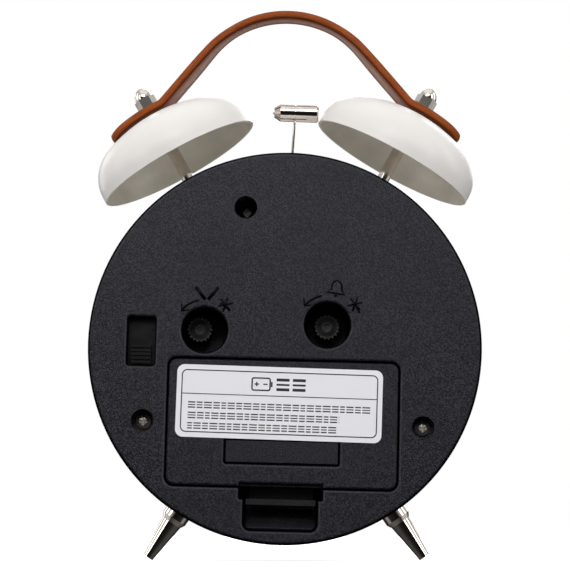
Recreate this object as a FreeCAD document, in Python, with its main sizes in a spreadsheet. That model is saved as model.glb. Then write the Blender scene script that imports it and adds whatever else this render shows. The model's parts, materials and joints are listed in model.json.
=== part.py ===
import FreeCAD, Part
import math
import os
import Sketcher

# Twin-bell battery alarm clock, millimetres.
# Row frame: +Z up, dial towards -Y, back cover towards +Y, origin on the ground under the case's middle.
# Most pieces are drawn in the rear frame: x is row +X, y is height over the case axis, z is depth measured
# from the back cover's outer face towards the dial. Pieces held by the back cover share its small turn.

SIZES = {
    "axis_height": 59.5, "case_depth": 50.0, "mid_depth": 25.0, "cover_turn": 1.5,
    # case
    "shell_radius": 54.4, "shell_wall": 1.2, "shell_start": 2.5, "shell_end": 45.0,
    "hammer_slot_length": 11.0, "hammer_slot_width": 4.0,
    "bezel_radius": 55.0, "bezel_opening": 47.5, "bezel_plug_radius": 53.1, "bezel_plug_bore": 51.4,
    "bezel_plug_start": 41.0, "bezel_start": 45.1, "bezel_lip": 47.2, "bezel_land": 1.0, "bezel_round": 1.6,
    "bezel_flare": 2.6,
    "lens_radius": 51.2, "lens_start": 45.7, "lens_thickness": 1.4,
    "reveal_bore": 49.2, "reveal_start": 39.8, "reveal_end": 45.6,
    "dial_radius": 52.9, "dial_start": 39.0, "dial_thickness": 0.7, "dial_hole": 3.3,
    "chassis_start": 37.4, "chassis_thickness": 1.5, "chassis_hole": 4.0,
    "post_radius": 3.3, "pilot_radius": 1.4, "pilot_depth": 12.0,
    # back cover
    "cover_radius": 55.0, "cover_thickness": 2.4, "cover_round": 1.0,
    "spigot_radius": 52.9, "spigot_bore": 51.3, "spigot_end": 7.0, "inner_start": 1.5,
    "door_centre": -21.5, "door_width": 64.1, "door_height": 35.2, "door_corner": 2.4, "door_gap": 0.3,
    "door_sink": 0.3, "door_thickness": 1.8, "ledge_width": 67.4, "ledge_height": 38.4, "ledge_end": 3.6,
    "well_width": 60.0, "well_height": 31.2, "well_depth": 18.6, "well_wall": 0.9,
    "slot_width": 22.9, "slot_top": -38.3, "slot_bottom": -42.4, "slot_depth": 9.2,
    "latch_block_width": 24.8, "latch_block_bottom": -50.8, "latch_block_end": 10.0,
    "finger_width": 20.4, "finger_floor": -45.0, "finger_low": -50.9, "finger_lowest": -52.2,
    "finger_step": 0.9,
    "tab_middle": 18.0, "tab_width": 6.0, "tab_top": -1.6, "tab_root": -4.2, "tab_bottom": -5.6,
    "tab_start": 2.6, "tab_end": 3.7, "tab_slot_depth": 6.0,
    "knob_well_radius": 6.3, "knob_well_depth": 13.5, "collar_radius": 7.3, "collar_end": 14.3,
    "time_well_side": 22.4, "time_well_up": 4.05, "alarm_well_side": -11.8, "alarm_well_up": 6.3,
    "time_knob_side": 24.2, "time_knob_up": 4.9, "alarm_knob_side": -11.7, "alarm_knob_up": 6.5,
    "stem_hole_radius": 2.0,
    "low_screw_side": 39.0, "low_screw_up": -21.6, "top_screw_side": 11.9, "top_screw_up": 39.0,
    "screw_well_radius": 3.2, "screw_hole_radius": 1.6, "boss_radius": 4.6,
    "low_seat": 4.4, "top_seat": 12.4, "seat_wall": 2.0,
    "screw_head_radius": 2.1, "screw_head_height": 1.5, "screw_radius": 1.3, "screw_length": 10.0,
    "screw_dome_radius": 1.05, "screw_dome_height": 1.43, "screw_edge_height": 0.6, "screw_point": 1.0,
    "cross_length": 2.4, "cross_width": 0.55, "cross_depth": 0.8,
    "plate_width": 31.8, "plate_height": 6.7, "plate_up": -29.35, "plate_sink": 0.25,
    # door latch and label
    "latch_width": 18.0, "latch_bar_width": 19.3, "latch_leg": 0.9, "latch_leg_top": -42.4,
    "latch_bar_bottom": -44.0, "latch_bar_start": 0.4, "latch_bar_end": 1.6, "latch_back": 7.9,
    "latch_end": 8.8, "door_leg_top": -38.4, "door_leg_thickness": 0.7, "door_leg_end": 7.7,
    "label_width": 57.3, "label_height": 20.2, "label_corner": 2.1, "label_side": 1.1, "label_up": -15.9,
    "label_thickness": 0.15, "label_turn": 0.5,
    # alarm switch
    "switch_side": 40.0, "switch_up": 0.6, "window_width": 7.7, "window_height": 13.5, "window_corner": 0.8,
    "thumb_width": 5.5, "thumb_height": 5.6, "thumb_start": 0.5, "thumb_bottom": -5.9, "rib_pitch": 1.1,
    "rib_width": 0.45, "rib_count": 5, "rib_height": 0.5, "rib_margin": 0.35,
    "mark_height": 0.2, "mark_side": 47.3, "on_mark_up": 5.0, "off_mark_up": -3.6, "mark_reach": 1.5,
    "mark_line": 0.5,
    "slider_width": 9.0, "slider_bottom": -12.0, "slider_height": 19.0, "slider_start": 2.8,
    "slider_end": 3.8, "switch_body_start": 4.1, "switch_body_end": 9.0, "switch_body_height": 20.0,
    # cells
    "cell_radius": 7.15, "cell_length": 49.5, "cell_pitch": 14.8, "cell_depth": 11.0, "cell_shift": 3.5,
    "cell_edge": 0.6,
    "cap_radius": 2.7, "cap_height": 1.2, "contact_size": 9.0, "contact_thickness": 0.4,
    "spring_length": 8.1, "spring_base": 4.0, "spring_tip": 2.4, "spring_wall": 0.8,
    # knobs
    "knob_radius": 3.5, "knob_root": 3.1, "knob_teeth": 18, "knob_start": 8.0, "knob_end": 12.5,
    "dimple_radius": 1.1, "dimple_depth": 1.0, "stem_radius": 1.5, "thin_stem_radius": 0.6, "stem_end": 20.0,
    # movement
    "housing_left": -20.0, "housing_right": 34.0, "housing_bottom": -22.5, "housing_top": 14.5,
    "housing_start": 20.6, "housing_split": 28.5, "housing_gap": 0.1, "housing_end": 36.8,
    "housing_wall": 1.0,
    "bush_radius": 3.2, "bush_bore": 2.12, "bush_end": 41.0, "nut_start": 39.75, "nut_height": 1.1,
    "nut_flats": 8.4,
    "stator_half": 4.5, "stator_reach": 14.0, "stator_start": 31.0, "stator_end": 32.2, "stator_bore": 2.8,
    "coil_radius": 2.6, "coil_length": 16.0, "coil_side": 5.0, "coil_up": -16.0, "coil_depth": 31.6,
    "board_left": 2.0, "board_bottom": -20.8, "board_start": 34.6, "board_right": 31.0, "board_top": -11.0,
    "board_end": 35.4,
    # hands
    "minute_length": 39.0, "hour_length": 27.0, "second_length": 42.0, "second_tail": 12.0,
    "alarm_length": 17.0,
    "hand_thickness": 0.3, "alarm_hand_start": 41.3, "hour_hand_start": 42.3, "minute_hand_start": 43.3,
    "second_hand_start": 44.2, "minute_clock": 51.7, "hour_clock": 304.3, "second_clock": 222.0,
    "alarm_clock": 195.0,
    # bells
    "bell_angle": 29.0, "bell_rim": 64.2, "bell_radius": 24.6, "bell_height": 16.0, "bell_crown": 45.0,
    "bell_lip": 2.0, "bell_wall": 0.8, "bell_hole": 1.6,
    "bell_post_radius": 1.8, "bell_stud_radius": 1.45, "bell_stud_low": 50.5, "bell_stud_high": 86.4,
    "cap_nut_flats": 5.5, "cap_nut_hex": 3.4, "cap_nut_height": 6.8, "cap_nut_dome": 2.6,
    "cap_nut_hole": 1.5, "cap_nut_hole_depth": 4.4,
    "inner_nut_flats": 5.5, "inner_nut_height": 2.2,
    # feet
    "foot_angle": 34.4, "foot_forward": 6.0, "foot_radius": 3.8, "foot_neck": 3.0, "foot_tip": 1.6,
    "foot_stud_radius": 1.9, "foot_stud_low": 49.5, "foot_shoulder": 3.0, "foot_nut_flats": 7.0,
    "foot_hole": 2.0,
    # strap
    "strap_thickness": 2.5, "strap_width": 14.0, "strap_waist": 8.0, "strap_top": 101.4,
    "strap_bend": 5.0, "strap_slope": 50.0, "strap_lift": 3.0, "strap_flap": 14.0, "strap_hole": 1.65,
    "waist_start": 28.0, "waist_end": 14.0, "strap_clearance": 0.1, "flap_corner": 5.0,
    # hammer and its drive
    "pivot_up": 31.5, "hammer_lean": 4.1, "head_up": 71.2, "head_side": -2.95, "head_length": 13.5,
    "head_radius": 2.6, "head_tilt": 2.0, "head_groove": 0.35, "head_edge": 0.4, "head_chamfer": 1.8,
    "head_shoulder": 1.1, "nub_radius": 0.5, "nub_length": 0.5,
    "rod_radius": 0.4, "rod_low": 4.0, "lever_start": 24.4, "lever_end": 25.6, "lever_hub": 2.5,
    "pin_radius": 1.0, "pin_hole": 1.06, "fork_gap": 4.5, "fork_prong": 1.0, "fork_bottom": 14.5,
    "fork_top": 5.5, "crank_up": 22.5, "crank_teeth": 40, "pinion_teeth": 12, "crank_module": 0.35,
    "crank_start": 27.0, "crank_end": 28.5, "crank_throw": 1.6, "crank_pin": 0.6, "crank_pin_start": 23.6,
    "crank_web": 0.6, "crank_rim": 1.2, "lever_stem": 1.5, "stem_shoulder": 1.5,
    "bracket_start": 29.4, "bracket_end": 30.4, "bracket_left": -16.0, "bracket_bottom": 16.0,
    "bracket_right": 7.0, "bracket_top": 38.0, "leg_left": -13.0, "leg_right": 5.0, "leg_low": 19.0,
    "leg_high": 35.0, "leg_radius": 1.6, "pin_start": 1.0,
    "motor_radius": 6.2, "motor_start": 8.5, "motor_end": 22.6, "motor_boss": 2.0, "motor_boss_height": 0.7,
    "motor_shaft": 0.5,
}
SHEET_NAME = "Sizes"
X_AXIS = FreeCAD.Vector(1, 0, 0)
Y_AXIS = FreeCAD.Vector(0, 1, 0)
Z_AXIS = FreeCAD.Vector(0, 0, 1)


class Size:
    """A number together with the sheet expression that gives it."""

    def __init__(self, value, text=None):
        self.value = float(value)
        self.text = text if text else "(%.6f)" % self.value

    def join(self, other, sign, value):
        return Size(value, "(" + self.text + " " + sign + " " + other.text + ")")

    def __add__(self, other):
        other = as_size(other)
        return self.join(other, "+", self.value + other.value)

    def __radd__(self, other):
        return as_size(other) + self

    def __sub__(self, other):
        other = as_size(other)
        return self.join(other, "-", self.value - other.value)

    def __rsub__(self, other):
        return as_size(other) - self

    def __mul__(self, other):
        other = as_size(other)
        return self.join(other, "*", self.value * other.value)

    def __rmul__(self, other):
        return as_size(other) * self

    def __truediv__(self, other):
        other = as_size(other)
        return self.join(other, "/", self.value / other.value)

    def __neg__(self):
        return Size(-self.value, "(-" + self.text + ")")


class Names:
    """Gives each driving dimension as a Size by its name."""

    def __getattr__(self, name):
        return Size(SIZES[name], SHEET_NAME + "." + name)


S = Names()
doc = FreeCAD.newDocument("twin_bell_clock")
nodes = []


def as_size(number):
    return number if isinstance(number, Size) else Size(number)


def sine(angle):
    return Size(math.sin(math.radians(angle.value)), "sin(" + angle.text + " * 1 deg)")


def cosine(angle):
    return Size(math.cos(math.radians(angle.value)), "cos(" + angle.text + " * 1 deg)")


def vector(x, y, z):
    return FreeCAD.Vector(as_size(x).value, as_size(y).value, as_size(z).value)


def turn(axis, degrees):
    return FreeCAD.Placement(FreeCAD.Vector(), FreeCAD.Rotation(axis, as_size(degrees).value))


def shift(x, y, z):
    return FreeCAD.Placement(vector(x, y, z), FreeCAD.Rotation())


def make_sheet():
    sheet = doc.addObject("Spreadsheet::Sheet", SHEET_NAME)
    for row, (alias, value) in enumerate(SIZES.items(), start=1):
        sheet.set("A%d" % row, alias)
        sheet.set("B%d" % row, str(value))
        sheet.setAlias("B%d" % row, alias)
    doc.recompute()
    return sheet


# Frames: rear is drawn looking at the back cover; cover adds the cover's turn; bells and feet point along
# a radius.
REAR = shift(0, S.case_depth / 2, S.axis_height) * turn(X_AXIS, 90)
COVER = REAR * turn(Z_AXIS, S.cover_turn)


def bell_frame(side):
    return shift(0, 0, S.axis_height) * turn(Y_AXIS, side * S.bell_angle)


def foot_frame(side):
    return shift(0, -S.foot_forward, S.axis_height) * turn(Y_AXIS, side * (180 - S.foot_angle))


def keep(obj, label, placement):
    """Names a finished sub-part, puts it in place and lists it for export."""
    obj.Label = label
    obj.Placement = placement
    nodes.append(obj)
    return obj


# ---- sketch and feature helpers -------------------------------------------------------------------------

def body(label):
    return doc.addObject("PartDesign::Body", label)


def sketch(owner, name, plane="XY_Plane", offset=0):
    result = owner.newObject("Sketcher::SketchObject", name)
    origin = [item for item in owner.Origin.OriginFeatures if item.Role == plane][0]
    result.AttachmentSupport = (origin, [""])
    result.MapMode = "FlatFace"
    offset = as_size(offset)
    result.AttachmentOffset = FreeCAD.Placement(FreeCAD.Vector(0, 0, offset.value), FreeCAD.Rotation())
    result.setExpression("AttachmentOffset.Base.z", offset.text)
    return result


def constrain(target, kind, *arguments):
    return target.addConstraint(Sketcher.Constraint(kind, *arguments))


def pin_point(target, geometry, point, x, y):
    """Ties a point of a sketch to the sketch's origin by two sizes."""
    for kind, place, axis in (("DistanceX", as_size(x), -2), ("DistanceY", as_size(y), -1)):
        if abs(place.value) < 1e-9:
            constrain(target, "PointOnObject", geometry, point, axis)
            continue
        index = constrain(target, kind, -1, 1, geometry, point, place.value)
        target.setExpression("Constraints[%d]" % index, place.text)


def circle(target, x, y, radius):
    radius = as_size(radius)
    shape = Part.Circle(vector(x, y, 0), Z_AXIS, radius.value)
    index = target.addGeometry(shape, False)
    pin_point(target, index, 3, x, y)
    number = constrain(target, "Radius", index, radius.value)
    target.setExpression("Constraints[%d]" % number, radius.text)


def outline(target, points):
    """A closed outline. Each point is (x, y), or (x, y, middle) where an arc through middle leads to it."""
    first = target.GeometryCount
    count = len(points)
    for number in range(count):
        start = vector(points[number - 1][0], points[number - 1][1], 0)
        end = vector(points[number][0], points[number][1], 0)
        if len(points[number]) == 3:
            edge = Part.Arc(start, vector(points[number][2][0], points[number][2][1], 0), end)
        else:
            edge = Part.LineSegment(start, end)
        target.addGeometry(edge, False)
    for number in range(count):
        point = points[number]
        index = first + number
        joined = first + (number + 1) % count
        end_point = arc_end(target, index, point)
        start_point = arc_start(target, joined, point)
        constrain(target, "Coincident", index, end_point, joined, start_point)
        pin_point(target, index, end_point, point[0], point[1])


def arc_end(target, index, point):
    place = vector(point[0], point[1], 0)
    return 2 if (target.getPoint(index, 2) - place).Length < 1e-4 else 1


def arc_start(target, index, point):
    place = vector(point[0], point[1], 0)
    return 1 if (target.getPoint(index, 1) - place).Length < 1e-4 else 2


def rectangle(target, left, bottom, right, top):
    outline(target, [(left, bottom), (right, bottom), (right, top), (left, top)])


def centred(target, x, y, width, height):
    rectangle(target, x - width / 2, y - height / 2, x + width / 2, y + height / 2)


def rounded(target, x, y, width, height, corner):
    """A rectangle with quarter-round corners."""
    left, right = x - width / 2, x + width / 2
    bottom, top = y - height / 2, y + height / 2
    near = corner.value * (1 - math.sqrt(0.5))
    outline(target, [
        (right - corner, bottom),
        (right, bottom + corner, (right.value - near, bottom.value + near)),
        (right, top - corner),
        (right - corner, top, (right.value - near, top.value - near)),
        (left + corner, top),
        (left, top - corner, (left.value + near, top.value - near)),
        (left, bottom + corner),
        (left + corner, bottom, (left.value + near, bottom.value + near)),
    ])


def hexagon(target, flats):
    corner = flats / math.sqrt(3)
    outline(target, [(corner * math.cos(math.radians(angle)), corner * math.sin(math.radians(angle)))
                     for angle in range(0, 360, 60)])


def pad(owner, drawn, length, both_ways=False):
    feature = owner.newObject("PartDesign::Pad", drawn.Name + "_pad")
    feature.Profile = drawn
    feature.Midplane = both_ways
    length = as_size(length)
    feature.Length = length.value
    feature.setExpression("Length", length.text)
    drawn.Visibility = False
    doc.recompute()
    return feature


def pocket(owner, drawn, length, both_ways=False):
    """Cuts towards larger depth and makes sure that something is removed."""
    before = owner.Shape.Volume
    feature = owner.newObject("PartDesign::Pocket", drawn.Name + "_pocket")
    feature.Profile = drawn
    feature.Midplane = both_ways
    feature.Reversed = not both_ways
    length = as_size(length)
    feature.Length = length.value
    feature.setExpression("Length", length.text)
    doc.recompute()
    if owner.Shape.Volume >= before - 1e-6:
        raise ValueError("pocket removes nothing: " + drawn.Name)
    return feature


def padded(owner, name, offset, length, draw):
    drawn = sketch(owner, name, offset=offset)
    draw(drawn)
    return pad(owner, drawn, length)


def pocketed(owner, name, offset, length, draw):
    drawn = sketch(owner, name, offset=offset)
    draw(drawn)
    return pocket(owner, drawn, length)


def revolved(owner, name, points):
    """A solid of revolution about local Z; points are (radius, z)."""
    drawn = sketch(owner, name, plane="XZ_Plane")
    outline(drawn, points)
    feature = owner.newObject("PartDesign::Revolution", name + "_turned")
    feature.Profile = drawn
    feature.ReferenceAxis = (drawn, ["V_Axis"])
    feature.Angle = 360.0
    doc.recompute()
    return feature


def turned(label, placement, points):
    owner = body(label)
    revolved(owner, label + "_profile", points)
    return keep(owner, label, placement)


def cylinder(name, radius, start, end, x=0, y=0):
    """A Part cylinder along local Z between two depths."""
    result = doc.addObject("Part::Cylinder", name)
    radius, start, end = as_size(radius), as_size(start), as_size(end)
    result.setExpression("Radius", radius.text)
    result.setExpression("Height", (end - start).text)
    result.Placement = shift(x, y, start)
    return result


def block(name, left, bottom, start, right, top, end):
    """A Part box between two corners."""
    result = doc.addObject("Part::Box", name)
    left, bottom, start = as_size(left), as_size(bottom), as_size(start)
    result.setExpression("Length", (as_size(right) - left).text)
    result.setExpression("Width", (as_size(top) - bottom).text)
    result.setExpression("Height", (as_size(end) - start).text)
    result.Placement = shift(left, bottom, start)
    return result


def fused(name, pieces):
    result = doc.addObject("Part::MultiFuse", name)
    result.Shapes = pieces
    return result


def cut(name, base, tools):
    tool = tools[0] if len(tools) == 1 else fused(name + "_tools", tools)
    result = doc.addObject("Part::Cut", name)
    result.Base = base
    result.Tool = tool
    return result


def shaped(label, shape, placement):
    """A sub-part whose shape comes from a formula."""
    result = doc.addObject("Part::Feature", label)
    result.Shape = shape
    return keep(result, label, placement)


def group(label, master, placements):
    """Identical pieces as one node."""
    doc.recompute()
    copies = []
    for placement in placements:
        copy = master.Shape.copy()
        copy.Placement = placement
        copies.append(copy)
    return shaped(label, Part.makeCompound(copies), FreeCAD.Placement())


# ---- case ------------------------------------------------------------------------------------------------

def case_shell():
    outer = cylinder("shell_outside", S.shell_radius, S.shell_start, S.shell_end)
    tools = [cylinder("shell_inside", S.shell_radius - S.shell_wall, S.shell_start - 1, S.shell_end + 1)]
    reach = S.shell_radius + 2
    for side in (-1, 1):
        hole = cylinder("bell_stud_hole", S.bell_hole, 40, reach)
        hole.Placement = REAR.inverse() * bell_frame(side) * hole.Placement
        tools.append(hole)
        hole = cylinder("foot_stud_hole", S.foot_hole, 40, reach)
        hole.Placement = REAR.inverse() * foot_frame(side) * hole.Placement
        tools.append(hole)
    half_length, half_width = S.hammer_slot_length / 2, S.hammer_slot_width / 2
    tools.append(block("hammer_slot", -half_length, 45, S.mid_depth - half_width,
                       half_length, reach, S.mid_depth + half_width))
    keep(cut("shell", outer, tools), "case_shell", REAR)


def front_bezel():
    """Rounded rim that slopes in to the opening. Its face is as far forward as the cover's marks are back."""
    front = S.case_depth + S.mark_height
    inset = S.bezel_round.value * (1 - math.cos(math.radians(45)))
    middle = (S.bezel_radius.value - inset, front.value - inset)
    turned("front_bezel", REAR, [
        (S.bezel_plug_bore, S.bezel_plug_start), (S.bezel_plug_radius, S.bezel_plug_start),
        (S.bezel_plug_radius, S.bezel_start), (S.bezel_radius, S.bezel_start),
        (S.bezel_radius, front - S.bezel_round), (S.bezel_radius - S.bezel_round, front, middle),
        (S.bezel_opening + S.bezel_flare, front), (S.bezel_opening, S.bezel_lip + S.bezel_land),
        (S.bezel_opening, S.bezel_lip), (S.bezel_plug_bore, S.bezel_lip)])


def plain_ring(label, placement, outer, inner, start, end):
    owner = body(label)

    def draw(target):
        circle(target, 0, 0, outer)
        if inner is not None:
            circle(target, 0, 0, inner)

    padded(owner, label + "_ring", start, as_size(end) - start, draw)
    return keep(owner, label, placement)


def front_rings():
    plain_ring("lens", REAR, S.lens_radius, None, S.lens_start, S.lens_start + S.lens_thickness)
    plain_ring("reveal_ring", REAR, S.lens_radius, S.reveal_bore, S.reveal_start, S.reveal_end)
    plain_ring("dial", REAR, S.dial_radius, S.dial_hole, S.dial_start, S.dial_start + S.dial_thickness)


def screw_places():
    """Each cover screw's position and the depth of its seat."""
    return [(S.low_screw_side, S.low_screw_up, S.low_seat),
            (-S.low_screw_side, S.low_screw_up, S.low_seat),
            (S.top_screw_side, S.top_screw_up, S.top_seat)]


def chassis():
    owner = body("chassis")

    def plate(target):
        circle(target, 0, 0, S.dial_radius)
        circle(target, 0, 0, S.chassis_hole)

    padded(owner, "chassis_plate", S.chassis_start, S.chassis_thickness, plate)
    for number, (side, up, seat) in enumerate(screw_places()):
        start = seat + S.seat_wall + 0.3
        padded(owner, "chassis_post%d" % number, start, S.chassis_start - start + 0.5,
               lambda target: circle(target, side, up, S.post_radius))
        pocketed(owner, "chassis_pilot%d" % number, start, S.pilot_depth,
                 lambda target: circle(target, side, up, S.pilot_radius))
    keep(owner, "chassis", COVER)


# ---- back cover ------------------------------------------------------------------------------------------

def cover_solid(owner):
    disc = padded(owner, "cover_disc", 0, S.cover_thickness,
                  lambda target: circle(target, 0, 0, S.cover_radius))
    rim = [number for number, edge in enumerate(disc.Shape.Edges, start=1)
           if abs(edge.BoundBox.ZMax) < 1e-6 and len(edge.Vertexes) == 1]
    rounding = owner.newObject("PartDesign::Fillet", "cover_rounding")
    rounding.Base = (disc, ["Edge%d" % rim[0]])
    rounding.setExpression("Radius", S.cover_round.text)
    doc.recompute()

    def spigot(target):
        circle(target, 0, 0, S.spigot_radius)
        circle(target, 0, 0, S.spigot_bore)

    start = S.inner_start
    padded(owner, "cover_spigot", start, S.spigot_end - start, spigot)
    padded(owner, "cover_ledge", start, S.ledge_end - start,
           lambda target: centred(target, Size(0), S.door_centre, S.ledge_width, S.ledge_height))
    padded(owner, "cover_tray", start, S.well_depth + S.well_wall - start,
           lambda target: centred(target, Size(0), S.door_centre, S.well_width + 2 * S.well_wall,
                                  S.well_height + 2 * S.well_wall))
    half = S.latch_block_width / 2
    padded(owner, "cover_latch_block", start, S.latch_block_end - start,
           lambda target: rectangle(target, -half, S.latch_block_bottom, half, S.slot_top + 1))
    padded(owner, "cover_time_collar", start, S.collar_end - start,
           lambda target: circle(target, S.time_well_side, S.time_well_up, S.collar_radius))
    padded(owner, "cover_alarm_collar", start, S.collar_end - start,
           lambda target: circle(target, S.alarm_well_side, S.alarm_well_up, S.collar_radius))
    for number, (side, up, seat) in enumerate(screw_places()):
        padded(owner, "cover_boss%d" % number, start, seat + S.seat_wall - start,
               lambda target: circle(target, side, up, S.boss_radius))


def cover_door_opening(owner):
    gap = 2 * S.door_gap
    pocketed(owner, "door_recess", 0, S.cover_thickness,
             lambda target: rounded(target, Size(0), S.door_centre, S.door_width + gap, S.door_height + gap,
                                    S.door_corner + S.door_gap))
    pocketed(owner, "cell_well", 0, S.well_depth,
             lambda target: centred(target, Size(0), S.door_centre, S.well_width, S.well_height))
    well_top = S.door_centre + S.well_height / 2
    opening_top = S.door_centre + S.door_height / 2 + S.door_gap
    half = S.tab_width / 2 + 0.5
    for number, middle in enumerate((S.tab_middle, -S.tab_middle)):
        pocketed(owner, "tab_slot%d" % number, 0, S.tab_slot_depth,
                 lambda target: rectangle(target, middle - half, well_top - 0.5, middle + half, opening_top))
        pocketed(owner, "tab_room%d" % number, S.cover_thickness, S.tab_slot_depth - S.cover_thickness,
                 lambda target: rectangle(target, middle - half, opening_top - 0.5,
                                        middle + half, S.tab_top + 0.5))


def cover_latch_opening(owner):
    half = S.slot_width / 2
    pocketed(owner, "latch_slot", 0, S.slot_depth,
             lambda target: rectangle(target, -half, S.slot_bottom, half, S.slot_top))
    wedge = sketch(owner, "finger_wedge", plane="YZ_Plane")
    outline(wedge, [(S.slot_bottom + 0.5, 0), (S.slot_bottom + 0.5, S.slot_depth),
                    (S.finger_floor, S.slot_depth), (S.finger_low, 0)])
    pocket(owner, wedge, S.finger_width, both_ways=True)
    side = S.finger_width / 2
    pocketed(owner, "finger_outline", 0, S.finger_step,
             lambda target: outline(target, [(-side, S.slot_bottom + 0.5), (-side, S.finger_low),
                                             (side, S.finger_low, (0, S.finger_lowest)),
                                             (side, S.slot_bottom + 0.5)]))


def cover_holes(owner):
    for name, side, up in (("time", S.time_well_side, S.time_well_up),
                           ("alarm", S.alarm_well_side, S.alarm_well_up)):
        pocketed(owner, name + "_well", 0, S.knob_well_depth,
                 lambda target: circle(target, side, up, S.knob_well_radius))
    for name, side, up in (("time", S.time_knob_side, S.time_knob_up),
                           ("alarm", S.alarm_knob_side, S.alarm_knob_up)):
        pocketed(owner, name + "_stem_hole", 0, S.collar_end + 1,
                 lambda target: circle(target, side, up, S.stem_hole_radius))
    for number, (side, up, seat) in enumerate(screw_places()):
        pocketed(owner, "screw_well%d" % number, 0, seat,
                 lambda target: circle(target, side, up, S.screw_well_radius))
        pocketed(owner, "screw_hole%d" % number, 0, seat + S.seat_wall + 1,
                 lambda target: circle(target, side, up, S.screw_hole_radius))
    pocketed(owner, "switch_window", 0, S.cover_thickness + 1,
             lambda target: rounded(target, S.switch_side, S.switch_up, S.window_width, S.window_height,
                                    S.window_corner))


def cover_marks(owner):
    """Raised on and off marks beside the alarm switch: a bar and a ring."""
    def marks(target):
        centred(target, S.mark_side, S.on_mark_up, S.mark_line, 2 * S.mark_reach)
        circle(target, S.mark_side, S.off_mark_up, S.mark_reach)
        circle(target, S.mark_side, S.off_mark_up, S.mark_reach - S.mark_line)

    padded(owner, "cover_marks", -S.mark_height, S.mark_height + S.cover_round, marks)


def back_cover():
    owner = body("back_cover")
    cover_solid(owner)
    cover_marks(owner)
    cover_door_opening(owner)
    cover_latch_opening(owner)
    cover_holes(owner)
    keep(owner, "back_cover", COVER)


def cover_screws():
    owner = body("screw_master")
    seat = as_size(0)
    revolved(owner, "screw_profile", [
        (0, -S.screw_head_height), (S.screw_dome_radius, -S.screw_dome_height),
        (S.screw_head_radius, -S.screw_edge_height), (S.screw_head_radius, seat), (S.screw_radius, seat),
        (S.screw_radius, S.screw_length - S.screw_point), (0, S.screw_length)])
    half, thin = S.cross_length / 2, S.cross_width / 2
    pocketed(owner, "screw_cross", -S.screw_head_height - 0.1, S.cross_depth, lambda target: outline(target, [
        (thin, thin), (thin, half), (-thin, half), (-thin, thin), (-half, thin), (-half, -thin),
        (-thin, -thin), (-thin, -half), (thin, -half), (thin, -thin), (half, -thin), (half, thin)]))
    group("cover_screws", owner, [COVER * shift(side, up, depth) for side, up, depth in screw_places()])


# ---- battery door ----------------------------------------------------------------------------------------

def battery_door():
    owner = body("battery_door")
    back = S.door_sink + S.door_thickness
    padded(owner, "door_plate", S.door_sink, S.door_thickness,
           lambda target: rounded(target, Size(0), S.door_centre, S.door_width, S.door_height, S.door_corner))
    half = S.latch_width / 2
    padded(owner, "door_leg", back - 0.1, S.door_leg_end - back + 0.1,
           lambda target: rectangle(target, -half, S.door_leg_top - S.door_leg_thickness,
                                    half, S.door_leg_top))
    side = S.tab_width / 2
    for number, middle in enumerate((S.tab_middle, -S.tab_middle)):
        padded(owner, "tab_root%d" % number, back - 0.1, S.tab_end - back + 0.1,
               lambda target: rectangle(target, middle - side, S.tab_bottom, middle + side, S.tab_root))
        padded(owner, "tab_lip%d" % number, S.tab_start, S.tab_end - S.tab_start,
               lambda target: rectangle(target, middle - side, S.tab_bottom, middle + side, S.tab_top))
    pocketed(owner, "blank_plate", S.door_sink - 0.1, S.plate_sink + 0.1,
             lambda target: centred(target, Size(0), S.plate_up, S.plate_width, S.plate_height))
    keep(owner, "battery_door", COVER)


def door_latch():
    owner = body("door_latch")
    bow = sketch(owner, "latch_bow", plane="YZ_Plane")
    leg_bottom = S.latch_leg_top - S.latch_leg
    outline(bow, [(S.door_leg_top, S.latch_back), (S.latch_leg_top, S.latch_back),
                  (S.latch_leg_top, S.latch_bar_start), (leg_bottom, S.latch_bar_start),
                  (leg_bottom, S.latch_end), (S.door_leg_top, S.latch_end)])
    pad(owner, bow, S.latch_width, both_ways=True)
    bar = sketch(owner, "latch_bar", plane="YZ_Plane")
    outline(bar, [(S.latch_leg_top, S.latch_bar_start), (S.latch_leg_top, S.latch_bar_end),
                  (S.latch_bar_bottom, S.latch_bar_end), (S.latch_bar_bottom, S.latch_bar_start)])
    pad(owner, bar, S.latch_bar_width, both_ways=True)
    keep(owner, "door_latch", COVER)


def door_label():
    owner = body("door_label")
    padded(owner, "label_paper", 0, S.label_thickness,
           lambda target: rounded(target, Size(0), Size(0), S.label_width, S.label_height, S.label_corner))
    place = shift(S.label_side, S.label_up, S.door_sink - S.label_thickness)
    keep(owner, "door_label", COVER * place * turn(Z_AXIS, S.label_turn))


# ---- alarm switch ----------------------------------------------------------------------------------------

def switch_slider():
    owner = body("switch_slider")
    side, thumb = S.slider_width / 2, S.thumb_width / 2
    padded(owner, "slider_plate", S.slider_start, S.slider_end - S.slider_start,
           lambda target: rectangle(target, -side, S.slider_bottom, side, S.slider_bottom + S.slider_height))
    top = S.thumb_bottom + S.thumb_height
    padded(owner, "slider_thumb", S.thumb_start + S.rib_height, S.slider_start - S.thumb_start,
           lambda target: rectangle(target, -thumb, S.thumb_bottom, thumb, top))

    def ribs(target):
        for number in range(int(SIZES["rib_count"])):
            low = S.thumb_bottom + S.rib_margin + number * S.rib_pitch
            rectangle(target, -thumb, low, thumb, low + S.rib_width)

    padded(owner, "slider_ribs", S.thumb_start, S.rib_height + 0.1, ribs)
    keep(owner, "switch_slider", COVER * shift(S.switch_side, 0, 0))


def switch_body():
    owner = body("switch_body")
    padded(owner, "switch_case", S.switch_body_start, S.switch_body_end - S.switch_body_start,
           lambda target: centred(target, S.switch_side, S.slider_bottom + S.slider_height / 2 + 2.5,
                                  S.slider_width, S.switch_body_height))
    keep(owner, "switch_body", COVER)


# ---- cells and contacts ----------------------------------------------------------------------------------

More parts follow.
